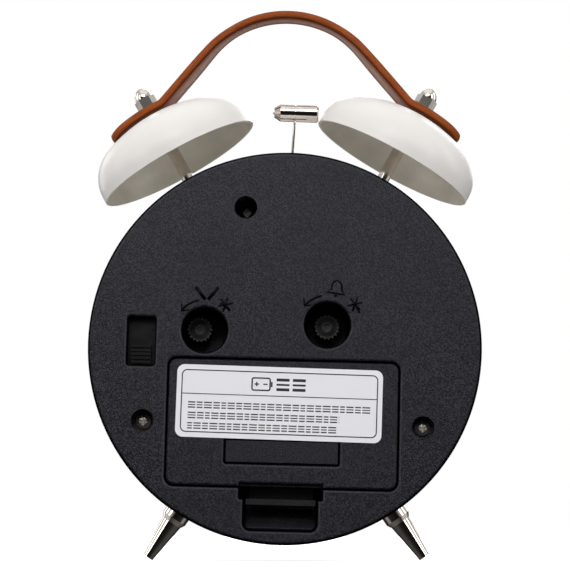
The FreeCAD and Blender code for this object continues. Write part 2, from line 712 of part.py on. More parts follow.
def cell_rows():
    """Height of each cell's axis and the side that its positive cap points to."""
    return [("cell_upper", S.door_centre + S.cell_pitch / 2, 1),
            ("cell_lower", S.door_centre - S.cell_pitch / 2, -1)]


def cells():
    radius, half, edge = S.cell_radius, S.cell_length / 2, S.cell_edge
    for label, up, side in cell_rows():
        place = COVER * shift(side * S.cell_shift, up, S.cell_depth) * turn(Y_AXIS, 90 * side)
        turned(label, place, [
            (0, -half), (radius - edge, -half), (radius, -half + edge), (radius, half - edge),
            (radius - edge, half),
            (S.cap_radius, half), (S.cap_radius, half + S.cap_height), (0, half + S.cap_height)])


def contact_face():
    """Distance from the middle of the well to the inner face of a contact plate."""
    return S.well_width / 2 - 0.1 - S.contact_thickness


def cell_contacts():
    """A contact plate at each end of each cell."""
    size, thickness = S.contact_size / 2, S.contact_thickness
    middle = contact_face() + thickness / 2
    plates = []
    for label, up, _ in cell_rows():
        for end in (-1, 1):
            left, right = end * middle - thickness / 2, end * middle + thickness / 2
            plates.append(block(label + "_plate", left, up - size, S.cell_depth - size,
                                right, up + size, S.cell_depth + size))
    doc.recompute()
    shaped("cell_contacts", Part.makeCompound([plate.Shape for plate in plates]), COVER)


def cell_springs():
    """Cone-shaped sleeves in place of the contact springs at the flat end of each cell."""
    owner = body("spring_master")
    wall, length = S.spring_wall, S.spring_length
    revolved(owner, "spring_profile", [
        (S.spring_base - wall, 0), (S.spring_base, 0), (S.spring_tip, length), (S.spring_tip - wall, length)])
    group("cell_springs", owner, [
        COVER * shift(-side * contact_face(), up, S.cell_depth) * turn(Y_AXIS, 90 * side)
        for _, up, side in cell_rows()])


# ---- gears -----------------------------------------------------------------------------------------------

TOOTH_TOP, TOOTH_FOOT = 0.24, 0.44
ADDENDUM, DEDENDUM = 0.72, 1.0


def tooth_face(teeth, module, phase, height, bore=0):
    """A toothed disc's face: straight-flanked teeth with ample backlash; phase is one tooth's angle."""
    pitch_radius = module * teeth / 2
    pitch = 2 * math.pi / teeth
    outer, root = pitch_radius + ADDENDUM * module, pitch_radius - DEDENDUM * module
    points = []
    for number in range(teeth):
        middle = phase + number * pitch
        for radius, part in ((root, -TOOTH_FOOT / 2), (outer, -TOOTH_TOP / 2), (outer, TOOTH_TOP / 2),
                             (root, TOOTH_FOOT / 2)):
            angle = middle + part * pitch
            points.append(FreeCAD.Vector(radius * math.cos(angle), radius * math.sin(angle), height))
    face = Part.Face(Part.makePolygon(points + [points[0]]))
    if bore:
        hole = Part.Face(Part.Wire(Part.makeCircle(bore, FreeCAD.Vector(0, 0, height))))
        face = face.cut(hole).Faces[0]
    return face


def toothed_disc(teeth, module, phase, start, end, bore=0):
    return tooth_face(teeth, module, phase, start, bore).extrude(FreeCAD.Vector(0, 0, end - start))


def tube(outer, inner, start, end):
    base = FreeCAD.Vector(0, 0, start)
    solid = Part.makeCylinder(outer, end - start, base)
    if inner:
        solid = solid.cut(Part.makeCylinder(inner, end - start, base))
    return solid


def joined(solids):
    result = solids[0]
    for solid in solids[1:]:
        result = result.fuse(solid)
    return result.removeSplitter()


def mesh_phase(centre, teeth, phase, next_centre, next_teeth):
    """Phase of the next wheel that puts one of its gaps over a tooth of this wheel."""
    along = math.atan2(next_centre[1] - centre[1], next_centre[0] - centre[0])
    own = (along - phase) * teeth / (2 * math.pi)
    return along + math.pi - (0.5 - own) * 2 * math.pi / next_teeth


def polar(radius, degrees):
    return (radius * math.cos(math.radians(degrees)), radius * math.sin(math.radians(degrees)))


def plus(first, second):
    return (first[0] + second[0], first[1] + second[1])


CENTRE = (0.0, 0.0)
STEP_MODULE, SECOND_MODULE, THIRD_MODULE, HOUR_MODULE = 0.25, 0.30, 0.34, 0.40
ROTOR_TEETH, STEP_WHEEL, STEP_PINION, SECOND_WHEEL = 10, 60, 10, 50
SECOND_PINION, THIRD_WHEEL, THIRD_PINION, CENTRE_WHEEL = 8, 60, 8, 64
CANNON, MINUTE_WHEEL, MINUTE_PINION, HOUR_WHEEL = 12, 36, 10, 40
SETTING_WHEEL, ALARM_WHEEL, ALARM_PINION = 35, 34, 20
STEP_DISTANCE = SECOND_MODULE * (STEP_PINION + SECOND_WHEEL) / 2
THIRD_DISTANCE = THIRD_MODULE * (SECOND_PINION + THIRD_WHEEL) / 2
CENTRE_MODULE = 2 * THIRD_DISTANCE / (THIRD_PINION + CENTRE_WHEEL)
MINUTE_DISTANCE = HOUR_MODULE * (MINUTE_PINION + HOUR_WHEEL) / 2
CANNON_MODULE = 2 * MINUTE_DISTANCE / (CANNON + MINUTE_WHEEL)
STEP_CENTRE = polar(STEP_DISTANCE, 225)
ROTOR_CENTRE = plus(STEP_CENTRE, polar(STEP_MODULE * (ROTOR_TEETH + STEP_WHEEL) / 2, 240))
THIRD_CENTRE = polar(THIRD_DISTANCE, -60)
SETTING_CENTRE = (SIZES["time_knob_side"], SIZES["time_knob_up"])
ALARM_CENTRE = (SIZES["alarm_knob_side"], SIZES["alarm_knob_up"])
ALARM_MODULE = 2 * math.hypot(*ALARM_CENTRE) / (ALARM_WHEEL + ALARM_PINION)
WHEEL_THICKNESS = 0.8
# depth at which each pair of wheels runs
STEP_LAYER, SECOND_LAYER, THIRD_LAYER, CENTRE_LAYER = 22.2, 23.6, 25.0, 26.4
CANNON_LAYER, HOUR_LAYER, ALARM_LAYER = 28.4, 29.8, 32.0
# outer and inner radii of the nested arbors
SECOND_ARBOR, MINUTE_TUBE, HOUR_TUBE, ALARM_TUBE = (0.40, 0), (0.85, 0.47), (1.45, 0.92), (2.05, 1.52)
CLUTCH_HUB = (1.6, 0.92)
ARBOR, END_SHAKE = 0.5, 0.2
MAGNET, MAGNET_START, MAGNET_END, ROTOR_END = 2.4, 30.6, 32.6, 33.2
# how far an arbor or hub runs past the layer of its last wheel
PAST_LAYER, HUB_LENGTH, HAND_SEAT = 1.2, 1.4, 0.4
# share of a flute's pitch at the knob's root and at its outside
FLUTE_FOOT, FLUTE_TOP = 0.60, 0.32


def minute_centre():
    """Motion-work arbor, placed so that its wheel meshes with the setting wheel."""
    reach = math.hypot(*SETTING_CENTRE)
    wanted = CANNON_MODULE * (MINUTE_WHEEL + SETTING_WHEEL) / 2
    cosine_of_turn = (reach ** 2 + MINUTE_DISTANCE ** 2 - wanted ** 2) / (2 * reach * MINUTE_DISTANCE)
    towards_knob = math.degrees(math.atan2(SETTING_CENTRE[1], SETTING_CENTRE[0]))
    return polar(MINUTE_DISTANCE, towards_knob - math.degrees(math.acos(cosine_of_turn)))


def layer(teeth, module, phase, start, bore=0):
    return toothed_disc(teeth, module, phase, start, start + WHEEL_THICKNESS, bore)


def place_wheel(label, centre, solids):
    shaped(label, joined(solids), COVER * shift(centre[0], centre[1], 0))


def going_train():
    rotor_phase = 0.0
    step_phase = mesh_phase(ROTOR_CENTRE, ROTOR_TEETH, rotor_phase, STEP_CENTRE, STEP_WHEEL)
    second_phase = mesh_phase(STEP_CENTRE, STEP_PINION, 0.0, CENTRE, SECOND_WHEEL)
    third_phase = mesh_phase(CENTRE, SECOND_PINION, 0.0, THIRD_CENTRE, THIRD_WHEEL)
    centre_phase = mesh_phase(THIRD_CENTRE, THIRD_PINION, 0.0, CENTRE, CENTRE_WHEEL)
    place_wheel("rotor", ROTOR_CENTRE, [
        layer(ROTOR_TEETH, STEP_MODULE, rotor_phase, STEP_LAYER),
        tube(ARBOR, 0, STEP_LAYER - END_SHAKE, ROTOR_END), tube(MAGNET, 0, MAGNET_START, MAGNET_END)])
    place_wheel("intermediate_wheel", STEP_CENTRE, [
        layer(STEP_WHEEL, STEP_MODULE, step_phase, STEP_LAYER),
        layer(STEP_PINION, SECOND_MODULE, 0.0, SECOND_LAYER),
        tube(ARBOR, 0, STEP_LAYER - END_SHAKE, SECOND_LAYER + PAST_LAYER)])
    place_wheel("second_wheel", CENTRE, [
        layer(SECOND_WHEEL, SECOND_MODULE, second_phase, SECOND_LAYER),
        layer(SECOND_PINION, THIRD_MODULE, 0.0, THIRD_LAYER),
        tube(*SECOND_ARBOR, STEP_LAYER - END_SHAKE, SIZES["second_hand_start"] + SIZES["hand_thickness"])])
    place_wheel("third_wheel", THIRD_CENTRE, [
        layer(THIRD_WHEEL, THIRD_MODULE, third_phase, THIRD_LAYER),
        layer(THIRD_PINION, CENTRE_MODULE, 0.0, CENTRE_LAYER),
        tube(ARBOR, 0, THIRD_LAYER - END_SHAKE, CENTRE_LAYER + PAST_LAYER)])
    place_wheel("centre_wheel", CENTRE, [
        layer(CENTRE_WHEEL, CENTRE_MODULE, centre_phase, CENTRE_LAYER, CLUTCH_HUB[1]),
        tube(*CLUTCH_HUB, CENTRE_LAYER, CENTRE_LAYER + HUB_LENGTH)])


def motion_work():
    middle = minute_centre()
    minute_phase = mesh_phase(CENTRE, CANNON, 0.0, middle, MINUTE_WHEEL)
    setting_phase = mesh_phase(middle, MINUTE_WHEEL, minute_phase, SETTING_CENTRE, SETTING_WHEEL)
    hour_phase = mesh_phase(middle, MINUTE_PINION, 0.0, CENTRE, HOUR_WHEEL)
    alarm_phase = mesh_phase(CENTRE, ALARM_WHEEL, 0.0, ALARM_CENTRE, ALARM_PINION)
    place_wheel("cannon_pinion", CENTRE, [
        layer(CANNON, CANNON_MODULE, 0.0, CANNON_LAYER, MINUTE_TUBE[1]),
        tube(*MINUTE_TUBE, CENTRE_LAYER - END_SHAKE, SIZES["minute_hand_start"] + HAND_SEAT)])
    place_wheel("minute_wheel", middle, [
        layer(MINUTE_WHEEL, CANNON_MODULE, minute_phase, CANNON_LAYER),
        layer(MINUTE_PINION, HOUR_MODULE, 0.0, HOUR_LAYER),
        tube(ARBOR, 0, CANNON_LAYER - END_SHAKE, HOUR_LAYER + PAST_LAYER)])
    place_wheel("hour_wheel", CENTRE, [
        layer(HOUR_WHEEL, HOUR_MODULE, hour_phase, HOUR_LAYER, HOUR_TUBE[1]),
        tube(*HOUR_TUBE, HOUR_LAYER, SIZES["hour_hand_start"] + HAND_SEAT)])
    place_wheel("alarm_wheel", CENTRE, [
        layer(ALARM_WHEEL, ALARM_MODULE, 0.0, ALARM_LAYER, ALARM_TUBE[1]),
        tube(*ALARM_TUBE, ALARM_LAYER, SIZES["alarm_hand_start"] + HAND_SEAT)])
    stem, start = SIZES["thin_stem_radius"], SIZES["stem_end"] - 0.5
    return {"time_knob": [layer(SETTING_WHEEL, CANNON_MODULE, setting_phase, CANNON_LAYER),
                          tube(stem, 0, start, CANNON_LAYER + PAST_LAYER)],
            "alarm_knob": [layer(ALARM_PINION, ALARM_MODULE, alarm_phase, ALARM_LAYER),
                           tube(stem, 0, start, ALARM_LAYER + PAST_LAYER)]}


def knobs(inner_ends):
    """Toothed setting knobs: fluted cap, stem and the wheel at the stem's inner end."""
    radius, root = SIZES["knob_radius"], SIZES["knob_root"]
    start, end = SIZES["knob_start"], SIZES["knob_end"]
    teeth = int(SIZES["knob_teeth"])
    points = []
    for number in range(teeth):
        flute = ((root, -FLUTE_FOOT), (radius, -FLUTE_TOP), (radius, FLUTE_TOP), (root, FLUTE_FOOT))
        for reach, part in flute:
            angle = (number + part / 2) * 2 * math.pi / teeth
            points.append(FreeCAD.Vector(reach * math.cos(angle), reach * math.sin(angle), start))
    cap = Part.Face(Part.makePolygon(points + [points[0]])).extrude(FreeCAD.Vector(0, 0, end - start))
    dimple = tube(SIZES["dimple_radius"], 0, start - 0.1, start + SIZES["dimple_depth"])
    head = joined([cap.cut(dimple), tube(SIZES["stem_radius"], 0, end - 0.1, SIZES["stem_end"])])
    for label, centre in (("time_knob", SETTING_CENTRE), ("alarm_knob", ALARM_CENTRE)):
        place_wheel(label, centre, [head] + inner_ends[label])


# ---- movement --------------------------------------------------------------------------------------------

def housing_half(label, start, end, open_start, open_end, holes):
    """One half of the movement's box; holes are (x, y, radius) through its closed wall."""
    owner = body(label)
    wall = S.housing_wall
    padded(owner, label + "_block", start, end - start,
           lambda target: rectangle(target, S.housing_left, S.housing_bottom, S.housing_right, S.housing_top))
    pocketed(owner, label + "_room", open_start, open_end - open_start,
             lambda target: rectangle(target, S.housing_left + wall, S.housing_bottom + wall,
                                      S.housing_right - wall, S.housing_top - wall))

    def drill(target):
        for x, y, radius in holes:
            circle(target, x, y, radius)

    return owner, drill


def movement_housing():
    wall = S.housing_wall
    owner, drill = housing_half("movement_back", S.housing_start, S.housing_split,
                                S.housing_start + wall, S.housing_split + 1,
                                [(S.time_knob_side, S.time_knob_up, S.thin_stem_radius + 0.06),
                                 (S.alarm_knob_side, S.alarm_knob_up, S.thin_stem_radius + 0.06)])
    pocketed(owner, "movement_back_holes", S.housing_start - 1, wall + 2, drill)
    keep(owner, "movement_back", COVER)
    owner, drill = housing_half("movement_front", S.housing_split + S.housing_gap, S.housing_end,
                                S.housing_split - 1, S.housing_end - wall, [(0, 0, S.bush_bore)])
    padded(owner, "movement_bush", S.housing_end - 0.5, S.bush_end - S.housing_end + 0.5,
           lambda target: circle(target, 0, 0, S.bush_radius))
    pocketed(owner, "movement_front_bore", S.housing_end - wall - 1, S.bush_end - S.housing_end + 3, drill)
    keep(owner, "movement_front", COVER)


def movement_nut():
    owner = body("movement_nut")

    def ring(target):
        hexagon(target, S.nut_flats)
        circle(target, 0, 0, S.bush_radius + 0.05)

    padded(owner, "nut_ring", S.nut_start, S.nut_height, ring)
    keep(owner, "movement_nut", COVER)


def movement_electrics():
    """Stator plate round the rotor's magnet, the coil beside it and the circuit board."""
    rotor_x, rotor_y = ROTOR_CENTRE
    plate = block("stator_plate", rotor_x - S.stator_half, rotor_y - S.stator_half, S.stator_start,
                  rotor_x + S.stator_reach, rotor_y + S.stator_half, S.stator_end)
    hole = cylinder("stator_hole", S.stator_bore, S.stator_start - 0.5, S.stator_end + 0.5, rotor_x, rotor_y)
    keep(cut("stator_cut", plate, [hole]), "stator", COVER)
    coil = cylinder("coil_winding", S.coil_radius, 0, S.coil_length)
    keep(coil, "coil", COVER * shift(S.coil_side, S.coil_up, S.coil_depth) * turn(Y_AXIS, 90))
    board = block("board_plate", S.board_left, S.board_bottom, S.board_start,
                  S.board_right, S.board_top, S.board_end)
    keep(board, "movement_board", COVER * board.Placement)


# ---- hands -----------------------------------------------------------------------------------------------

def hand(label, start, clock_angle, boss, bore, points):
    owner = body(label)
    padded(owner, label + "_blade", 0, S.hand_thickness, lambda target: outline(target, points))
    padded(owner, label + "_boss", 0, S.hand_thickness, lambda target: circle(target, 0, 0, boss))
    if bore is not None:
        pocketed(owner, label + "_bore", -0.5, S.hand_thickness + 1,
             lambda target: circle(target, 0, 0, bore))
    keep(owner, label, COVER * shift(0, 0, start) * turn(Z_AXIS, -clock_angle - S.cover_turn))


def leaf(length, wide, narrow, tail):
    """A blade that widens from the tail to a third of its length and tapers to the tip."""
    return [(-narrow / 2, -tail), (narrow / 2, -tail), (wide / 2, length * 0.35), (narrow / 4, length),
            (-narrow / 4, length), (-wide / 2, length * 0.35)]


def hands():
    hand("minute_hand", S.minute_hand_start, S.minute_clock, Size(2.4), Size(MINUTE_TUBE[0] + 0.01),
         leaf(S.minute_length, Size(3.0), Size(1.8), Size(0)))
    hand("hour_hand", S.hour_hand_start, S.hour_clock, Size(3.0), Size(HOUR_TUBE[0] + 0.01),
         leaf(S.hour_length, Size(4.2), Size(2.4), Size(0)))
    hand("alarm_hand", S.alarm_hand_start, S.alarm_clock, Size(3.2), Size(ALARM_TUBE[0] + 0.01),
         leaf(S.alarm_length, Size(2.0), Size(1.4), Size(0)))
    hand("second_hand", S.second_hand_start, S.second_clock, Size(1.6), Size(SECOND_ARBOR[0] + 0.01),
         leaf(S.second_length, Size(0.9), Size(0.8), S.second_tail))


# ---- bells -----------------------------------------------------------------------------------------------

def bell_profile():
    """Crown arc and shoulder arc that run into a short straight lip, outside and inside."""
    crown = S.bell_crown
    centre = S.bell_rim + S.bell_height - crown
    rise = S.bell_rim + S.bell_lip - centre
    shoulder = (crown * crown - S.bell_radius * S.bell_radius - rise * rise) / (2 * (crown - S.bell_radius))
    across = S.bell_radius - shoulder
    share = crown / (crown - shoulder)
    inner_share = (crown - S.bell_wall) / (crown - shoulder)
    bend = math.atan2(rise.value, across.value) / 2
    shoulder_up = S.bell_rim + S.bell_lip

    def on_crown(radius, angle):
        return (radius.value * math.sin(angle), centre.value + radius.value * math.cos(angle))

    def on_shoulder(radius, angle):
        return (across.value + radius.value * math.cos(angle),
                shoulder_up.value + radius.value * math.sin(angle))

    half_crown = math.atan2(across.value, rise.value) / 2
    inner_crown = crown - S.bell_wall
    outer_top = Size(centre.value + math.sqrt(crown.value ** 2 - S.bell_hole.value ** 2))
    inner_top = Size(centre.value + math.sqrt(inner_crown.value ** 2 - S.bell_hole.value ** 2))
    return [
        (S.bell_radius - S.bell_wall, S.bell_rim), (S.bell_radius, S.bell_rim), (S.bell_radius, shoulder_up),
        (across * share, centre + rise * share, on_shoulder(shoulder, bend)),
        (S.bell_hole, outer_top, on_crown(crown, half_crown)),
        (S.bell_hole, inner_top),
        (across * inner_share, centre + rise * inner_share, on_crown(inner_crown, half_crown)),
        (S.bell_radius - S.bell_wall, shoulder_up, on_shoulder(shoulder - S.bell_wall, bend))]


def bells():
    post, stud = S.bell_post_radius, S.bell_stud_radius
    post_top = S.bell_rim + S.bell_height - S.bell_wall - 0.05
    for name, side in (("left", 1), ("right", -1)):
        turned("bell_" + name, bell_frame(side), bell_profile())
        turned("bell_post_" + name, bell_frame(side), [
            (0, S.bell_stud_low), (stud, S.bell_stud_low), (stud, S.shell_radius + 0.05),
            (post, S.shell_radius + 0.05), (post, post_top), (stud, post_top), (stud, S.bell_stud_high),
            (0, S.bell_stud_high)])


def cap_nuts():
    owner = body("cap_nut_master")
    padded(owner, "cap_nut_hex", 0, S.cap_nut_hex, lambda target: hexagon(target, S.cap_nut_flats))
    dome, low, top = S.cap_nut_dome, S.cap_nut_hex - 0.5, S.cap_nut_height
    middle = (dome.value * 0.78, S.cap_nut_hex.value + (top - S.cap_nut_hex).value * 0.62)
    revolved(owner, "cap_nut_dome", [(0, low), (dome, low), (dome, S.cap_nut_hex), (0, top, middle)])
    pocketed(owner, "cap_nut_hole", -0.1, S.cap_nut_hole_depth,
             lambda target: circle(target, 0, 0, S.cap_nut_hole))
    seat = S.bell_rim + S.bell_height + S.strap_thickness + S.strap_clearance + 0.05
    group("cap_nuts", owner, [bell_frame(side) * shift(0, 0, seat) for side in (1, -1)])


def inner_nuts(label, flats, hole, height, frames, radius_of_shell):
    owner = body(label + "_master")

    def ring(target):
        hexagon(target, flats)
        circle(target, 0, 0, hole)

    padded(owner, label + "_ring", 0, height, ring)
    seat = radius_of_shell - height - 0.4
    group(label, owner, [frame * shift(0, 0, seat) for frame in frames])


def feet():
    reach = (S.axis_height - S.foot_tip * sine(S.foot_angle)) / cosine(S.foot_angle)
    base = S.shell_radius + 0.1
    for name, side in (("left", 1), ("right", -1)):
        turned("foot_" + name, foot_frame(side), [
            (0, S.foot_stud_low), (S.foot_stud_radius, S.foot_stud_low), (S.foot_stud_radius, base),
            (S.foot_radius, base), (S.foot_radius, base + S.foot_shoulder),
            (S.foot_neck, base + S.foot_shoulder + 1.4), (S.foot_tip, reach), (0, reach)])
    inner = S.shell_radius - S.shell_wall
    inner_nuts("post_nuts", S.inner_nut_flats, S.bell_stud_radius + 0.05, S.inner_nut_height,
               [bell_frame(1), bell_frame(-1)], inner)
    inner_nuts("foot_nuts", S.foot_nut_flats, S.foot_stud_radius + 0.05, S.inner_nut_height,
               [foot_frame(1), foot_frame(-1)], inner)


# ---- strap -----------------------------------------------------------------------------------------------

def on_circle(centre, radius, degrees):
    """Point of a circle, the angle counted from straight up towards +x."""
    angle = math.radians(degrees)
    return FreeCAD.Vector(centre[0] + radius * math.sin(angle), 0, centre[1] + radius * math.cos(angle))


def strap_side(offset, side):
    """One half of the strap's edge line, from the top of the arch to the end of the flap."""
    angle = SIZES["bell_angle"]
    middle = SIZES["strap_thickness"] / 2
    crown = SIZES["bell_crown"] + SIZES["strap_clearance"] + middle
    crown_reach = SIZES["bell_rim"] + SIZES["bell_height"] - SIZES["bell_crown"]
    crown_centre = polar(crown_reach, 90 - angle)
    lift = angle - SIZES["strap_lift"]
    slope = SIZES["strap_slope"]
    bend = SIZES["strap_bend"]
    flap = angle + math.degrees(SIZES["strap_flap"] / crown)
    bend_centre = plus(crown_centre, polar(crown + bend, 90 - lift))
    arch = arch_radius(bend_centre, slope, bend)
    arch_centre = (0.0, SIZES["strap_top"] - middle - arch)
    arcs = [(arch_centre, arch + offset, 0, slope), (bend_centre, bend - offset, slope + 180, lift + 180),
            (crown_centre, crown + offset, lift, flap)]
    edges = []
    last = None
    for centre, radius, start, end in arcs:
        points = [on_circle(centre, radius, start + (end - start) * part) for part in (0, 0.5, 1)]
        points = [FreeCAD.Vector(side * point.x, 0, point.z) for point in points]
        if last is not None and (last - points[0]).Length > 1e-6:
            edges.append(Part.makeLine(last, points[0]))
        edges.append(Part.Arc(*points).toShape())
        last = points[2]
    return edges


def arch_radius(bend_centre, slope, bend):
    """Radius of the arch that meets the straight flank at the wanted slope and reaches the strap's top."""
    angle = math.radians(slope)
    flank = bend_centre[0] * math.sin(angle) + bend_centre[1] * math.cos(angle) - bend
    top = SIZES["strap_top"] - SIZES["strap_thickness"] / 2
    return (flank - top * math.cos(angle)) / (1 - math.cos(angle))


def rounded_flaps(band, width):
    """Trims the plan view's outer corners to quarter rounds."""
    corner = SIZES["flap_corner"]
    reach = band.BoundBox.XMax
    box = Part.makeBox(2 * reach, width, 200, FreeCAD.Vector(-reach, -width / 2, 0))
    upright = [edge for edge in box.Edges if abs(edge.tangentAt(edge.FirstParameter).z) > 0.9]
    return band.common(box.makeFillet(corner, upright))


def strap_handle():
    """Leather band: an S on each side from the flap on the bell up into one arch, narrower over the arch."""
    half = SIZES["strap_thickness"] / 2
    outer_right, inner_right = strap_side(half, 1), strap_side(-half, 1)
    outer_left, inner_left = strap_side(half, -1), strap_side(-half, -1)
    ends = []
    for outer, inner in ((outer_right, inner_right), (outer_left, inner_left)):
        far_outer, far_inner = outer[-1].Vertexes, inner[-1].Vertexes
        tip_outer = max((item.Point for item in far_outer), key=lambda point: abs(point.x))
        tip_inner = max((item.Point for item in far_inner), key=lambda point: abs(point.x))
        ends.append(Part.makeLine(tip_outer, tip_inner))
    wire = Part.Wire(Part.__sortEdges__(outer_right + ends + inner_right + inner_left + outer_left))
    width = SIZES["strap_width"]
    band = Part.Face(wire).extrude(FreeCAD.Vector(0, width, 0))
    band.translate(FreeCAD.Vector(0, -width / 2, 0))
    waist, wide, narrow = SIZES["strap_waist"] / 2, SIZES["waist_start"], SIZES["waist_end"]
    for side in (-1, 1):
        corners = [FreeCAD.Vector(-wide, side * width / 2, 0), FreeCAD.Vector(-narrow, side * waist, 0),
                   FreeCAD.Vector(narrow, side * waist, 0), FreeCAD.Vector(wide, side * width / 2, 0),
                   FreeCAD.Vector(wide, side * width, 0), FreeCAD.Vector(-wide, side * width, 0)]
        cutter = Part.Face(Part.makePolygon(corners + [corners[0]])).extrude(FreeCAD.Vector(0, 0, 200))
        band = band.cut(cutter)
    band = rounded_flaps(band, width)
    for side in (-1, 1):
        hole = Part.makeCylinder(SIZES["strap_hole"], 12, FreeCAD.Vector(0, 0, 76))
        hole.Placement = turn(Y_AXIS, side * SIZES["bell_angle"])
        band = band.cut(hole)
    shaped("strap_handle", band, shift(0, 0, S.axis_height))


# ---- hammer and its drive --------------------------------------------------------------------------------

def hammer_frame():
    """Hammer frame: z along the rod from the pivot, x towards the row's +X."""
    return shift(0, 0, S.axis_height + S.pivot_up) * turn(Y_AXIS, -S.hammer_lean)


def hammer_head():
    radius, half, nub = S.head_radius, S.head_length / 2, S.nub_length
    owner = body("hammer_head")
    groove = S.head_groove
    revolved(owner, "head_profile", [
        (0, -half), (radius - S.head_edge, -half), (radius, -half + S.head_edge), (radius, -groove / 2),
        (radius - groove, -groove / 2), (radius - groove, groove / 2), (radius, groove / 2),
        (radius, half - nub - S.head_chamfer), (radius - S.head_shoulder, half - nub),
        (S.nub_radius, half - nub), (S.nub_radius, half),
        (0, half)])
    place = shift(S.head_side, 0, S.axis_height + S.head_up) * turn(Y_AXIS, 90 - S.head_tilt)
    keep(owner, "hammer_head", place)


def hammer_rod():
    reach = (S.head_up - S.pivot_up) / cosine(S.hammer_lean)
    rod = cylinder("rod_wire", S.rod_radius, S.rod_low, reach - S.head_radius - 0.05)
    keep(rod, "hammer_rod", hammer_frame() * rod.Placement)


def hammer_lever():
    """Pressed lever: hub on the pivot pin, stem under the rod and a fork around the crank pin."""
    thickness = S.lever_end - S.lever_start
    owner = body("hammer_lever")
    gap, outer, low, stem = S.fork_gap, S.fork_gap + S.fork_prong, -S.fork_bottom, S.lever_stem
    inside, outside, top = -S.fork_top, S.fork_prong - S.fork_top, S.rod_low - 0.1
    shoulder = outside + S.stem_shoulder

    def fork(target):
        outline(target, [(-outer, low), (-gap, low), (-gap, inside), (gap, inside), (gap, low), (outer, low),
                         (outer, outside), (stem, shoulder), (stem, top), (-stem, top), (-stem, shoulder),
                         (-outer, outside)])

    padded(owner, "lever_fork", 0, thickness, fork)
    padded(owner, "lever_hub", 0, thickness, lambda target: circle(target, 0, 0, S.lever_hub))
    pocketed(owner, "lever_hole", -0.5, thickness + 1, lambda target: circle(target, 0, 0, S.pin_hole))
    place = REAR * shift(0, S.pivot_up, S.lever_start) * turn(Z_AXIS, S.hammer_lean)
    keep(owner, "hammer_lever", place)


def crank_centres():
    distance = SIZES["crank_module"] * (SIZES["crank_teeth"] + SIZES["pinion_teeth"]) / 2
    return (0.0, SIZES["crank_up"]), (-distance, SIZES["crank_up"])


def striking_gears():
    crank, motor = crank_centres()
    module = SIZES["crank_module"]
    teeth, pinion = int(SIZES["crank_teeth"]), int(SIZES["pinion_teeth"])
    start, end = SIZES["crank_start"], SIZES["crank_end"]
    wheel = toothed_disc(teeth, module, 0.0, start, end, SIZES["pin_hole"])
    throw = Part.makeCylinder(SIZES["crank_pin"], start - SIZES["crank_pin_start"] + 0.1,
                              FreeCAD.Vector(0, -SIZES["crank_throw"], SIZES["crank_pin_start"]))
    web_radius, web_start = SIZES["crank_throw"] + SIZES["crank_rim"], start - SIZES["crank_web"]
    web = tube(web_radius, SIZES["pin_hole"], web_start, start + 0.1)
    shaped("crank_gear", joined([wheel, web, throw]), REAR * shift(crank[0], crank[1], 0))
    phase = mesh_phase(crank, teeth, 0.0, motor, pinion)
    small = toothed_disc(pinion, module, phase, start, end, SIZES["motor_shaft"] + 0.01)
    shaped("motor_pinion", small, REAR * shift(motor[0], motor[1], 0))
    return motor


def alarm_motor(motor):
    owner = body("alarm_motor")
    padded(owner, "motor_can", S.motor_start, S.motor_end - S.motor_start,
           lambda target: circle(target, 0, 0, S.motor_radius))
    padded(owner, "motor_boss", S.motor_end - 0.1, S.motor_boss_height,
           lambda target: circle(target, 0, 0, S.motor_boss))
    keep(owner, "alarm_motor", REAR * shift(motor[0], motor[1], 0))
    shaft = cylinder("shaft_rod", S.motor_shaft, S.motor_end + S.motor_boss_height, S.crank_end + 0.3)
    keep(shaft, "motor_shaft", REAR * shift(motor[0], motor[1], 0) * shaft.Placement)


def hammer_bracket():
    """Plate on the chassis with the hammer's pivot pin and the crank gear's pin."""
    owner = body("hammer_bracket")
    padded(owner, "bracket_plate", S.bracket_start, S.bracket_end - S.bracket_start,
           lambda target: rectangle(target, S.bracket_left, S.bracket_bottom, S.bracket_right, S.bracket_top))
    legs = ((S.leg_left, S.leg_low), (S.leg_left, S.leg_high), (S.leg_right, S.leg_high))
    for number, (side, up) in enumerate(legs):
        padded(owner, "bracket_leg%d" % number, S.bracket_end - 0.1, S.chassis_start - S.bracket_end,
               lambda target: circle(target, side, up, S.leg_radius))
    pivot_start = S.lever_start - S.pin_start
    padded(owner, "bracket_pivot", pivot_start, S.bracket_start - pivot_start + 0.1,
           lambda target: circle(target, 0, S.pivot_up, S.pin_radius))
    padded(owner, "bracket_axle", S.crank_start - 0.2, S.bracket_start - S.crank_start + 0.3,
           lambda target: circle(target, 0, S.crank_up, S.pin_radius))
    keep(owner, "hammer_bracket", REAR)


# ---- build, check, write ---------------------------------------------------------------------------------

def build():
    case_shell()
    front_bezel()
    front_rings()
    chassis()
    back_cover()
    cover_screws()
    battery_door()
    door_latch()
    door_label()
    switch_slider()
    switch_body()
    cells()
    cell_contacts()
    cell_springs()
    movement_housing()
    movement_nut()
    movement_electrics()
    going_train()
    knobs(motion_work())
    hands()
    bells()
    cap_nuts()
    feet()
    strap_handle()
    hammer_head()
    hammer_rod()
    hammer_lever()
    alarm_motor(striking_gears())
    hammer_bracket()


def check_and_write():
    doc.recompute()
    for item in doc.Objects:
        if "Invalid" in item.State or "Error" in item.State:
            raise ValueError("object failed: " + item.Label)
    for item in nodes:
        if item.Shape.isNull() or not item.Shape.isValid():
            raise ValueError("bad shape: " + item.Label)
    os.makedirs("parts", exist_ok=True)
    for item in nodes:
        item.Shape.exportStep("parts/" + item.Label + ".step")
        print("%-20s solids %d volume %.2f" % (item.Label, len(item.Shape.Solids), item.Shape.Volume))


make_sheet()
build()
check_and_write()
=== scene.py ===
import json
import math

import bmesh
import bpy
from mathutils import Matrix, Vector


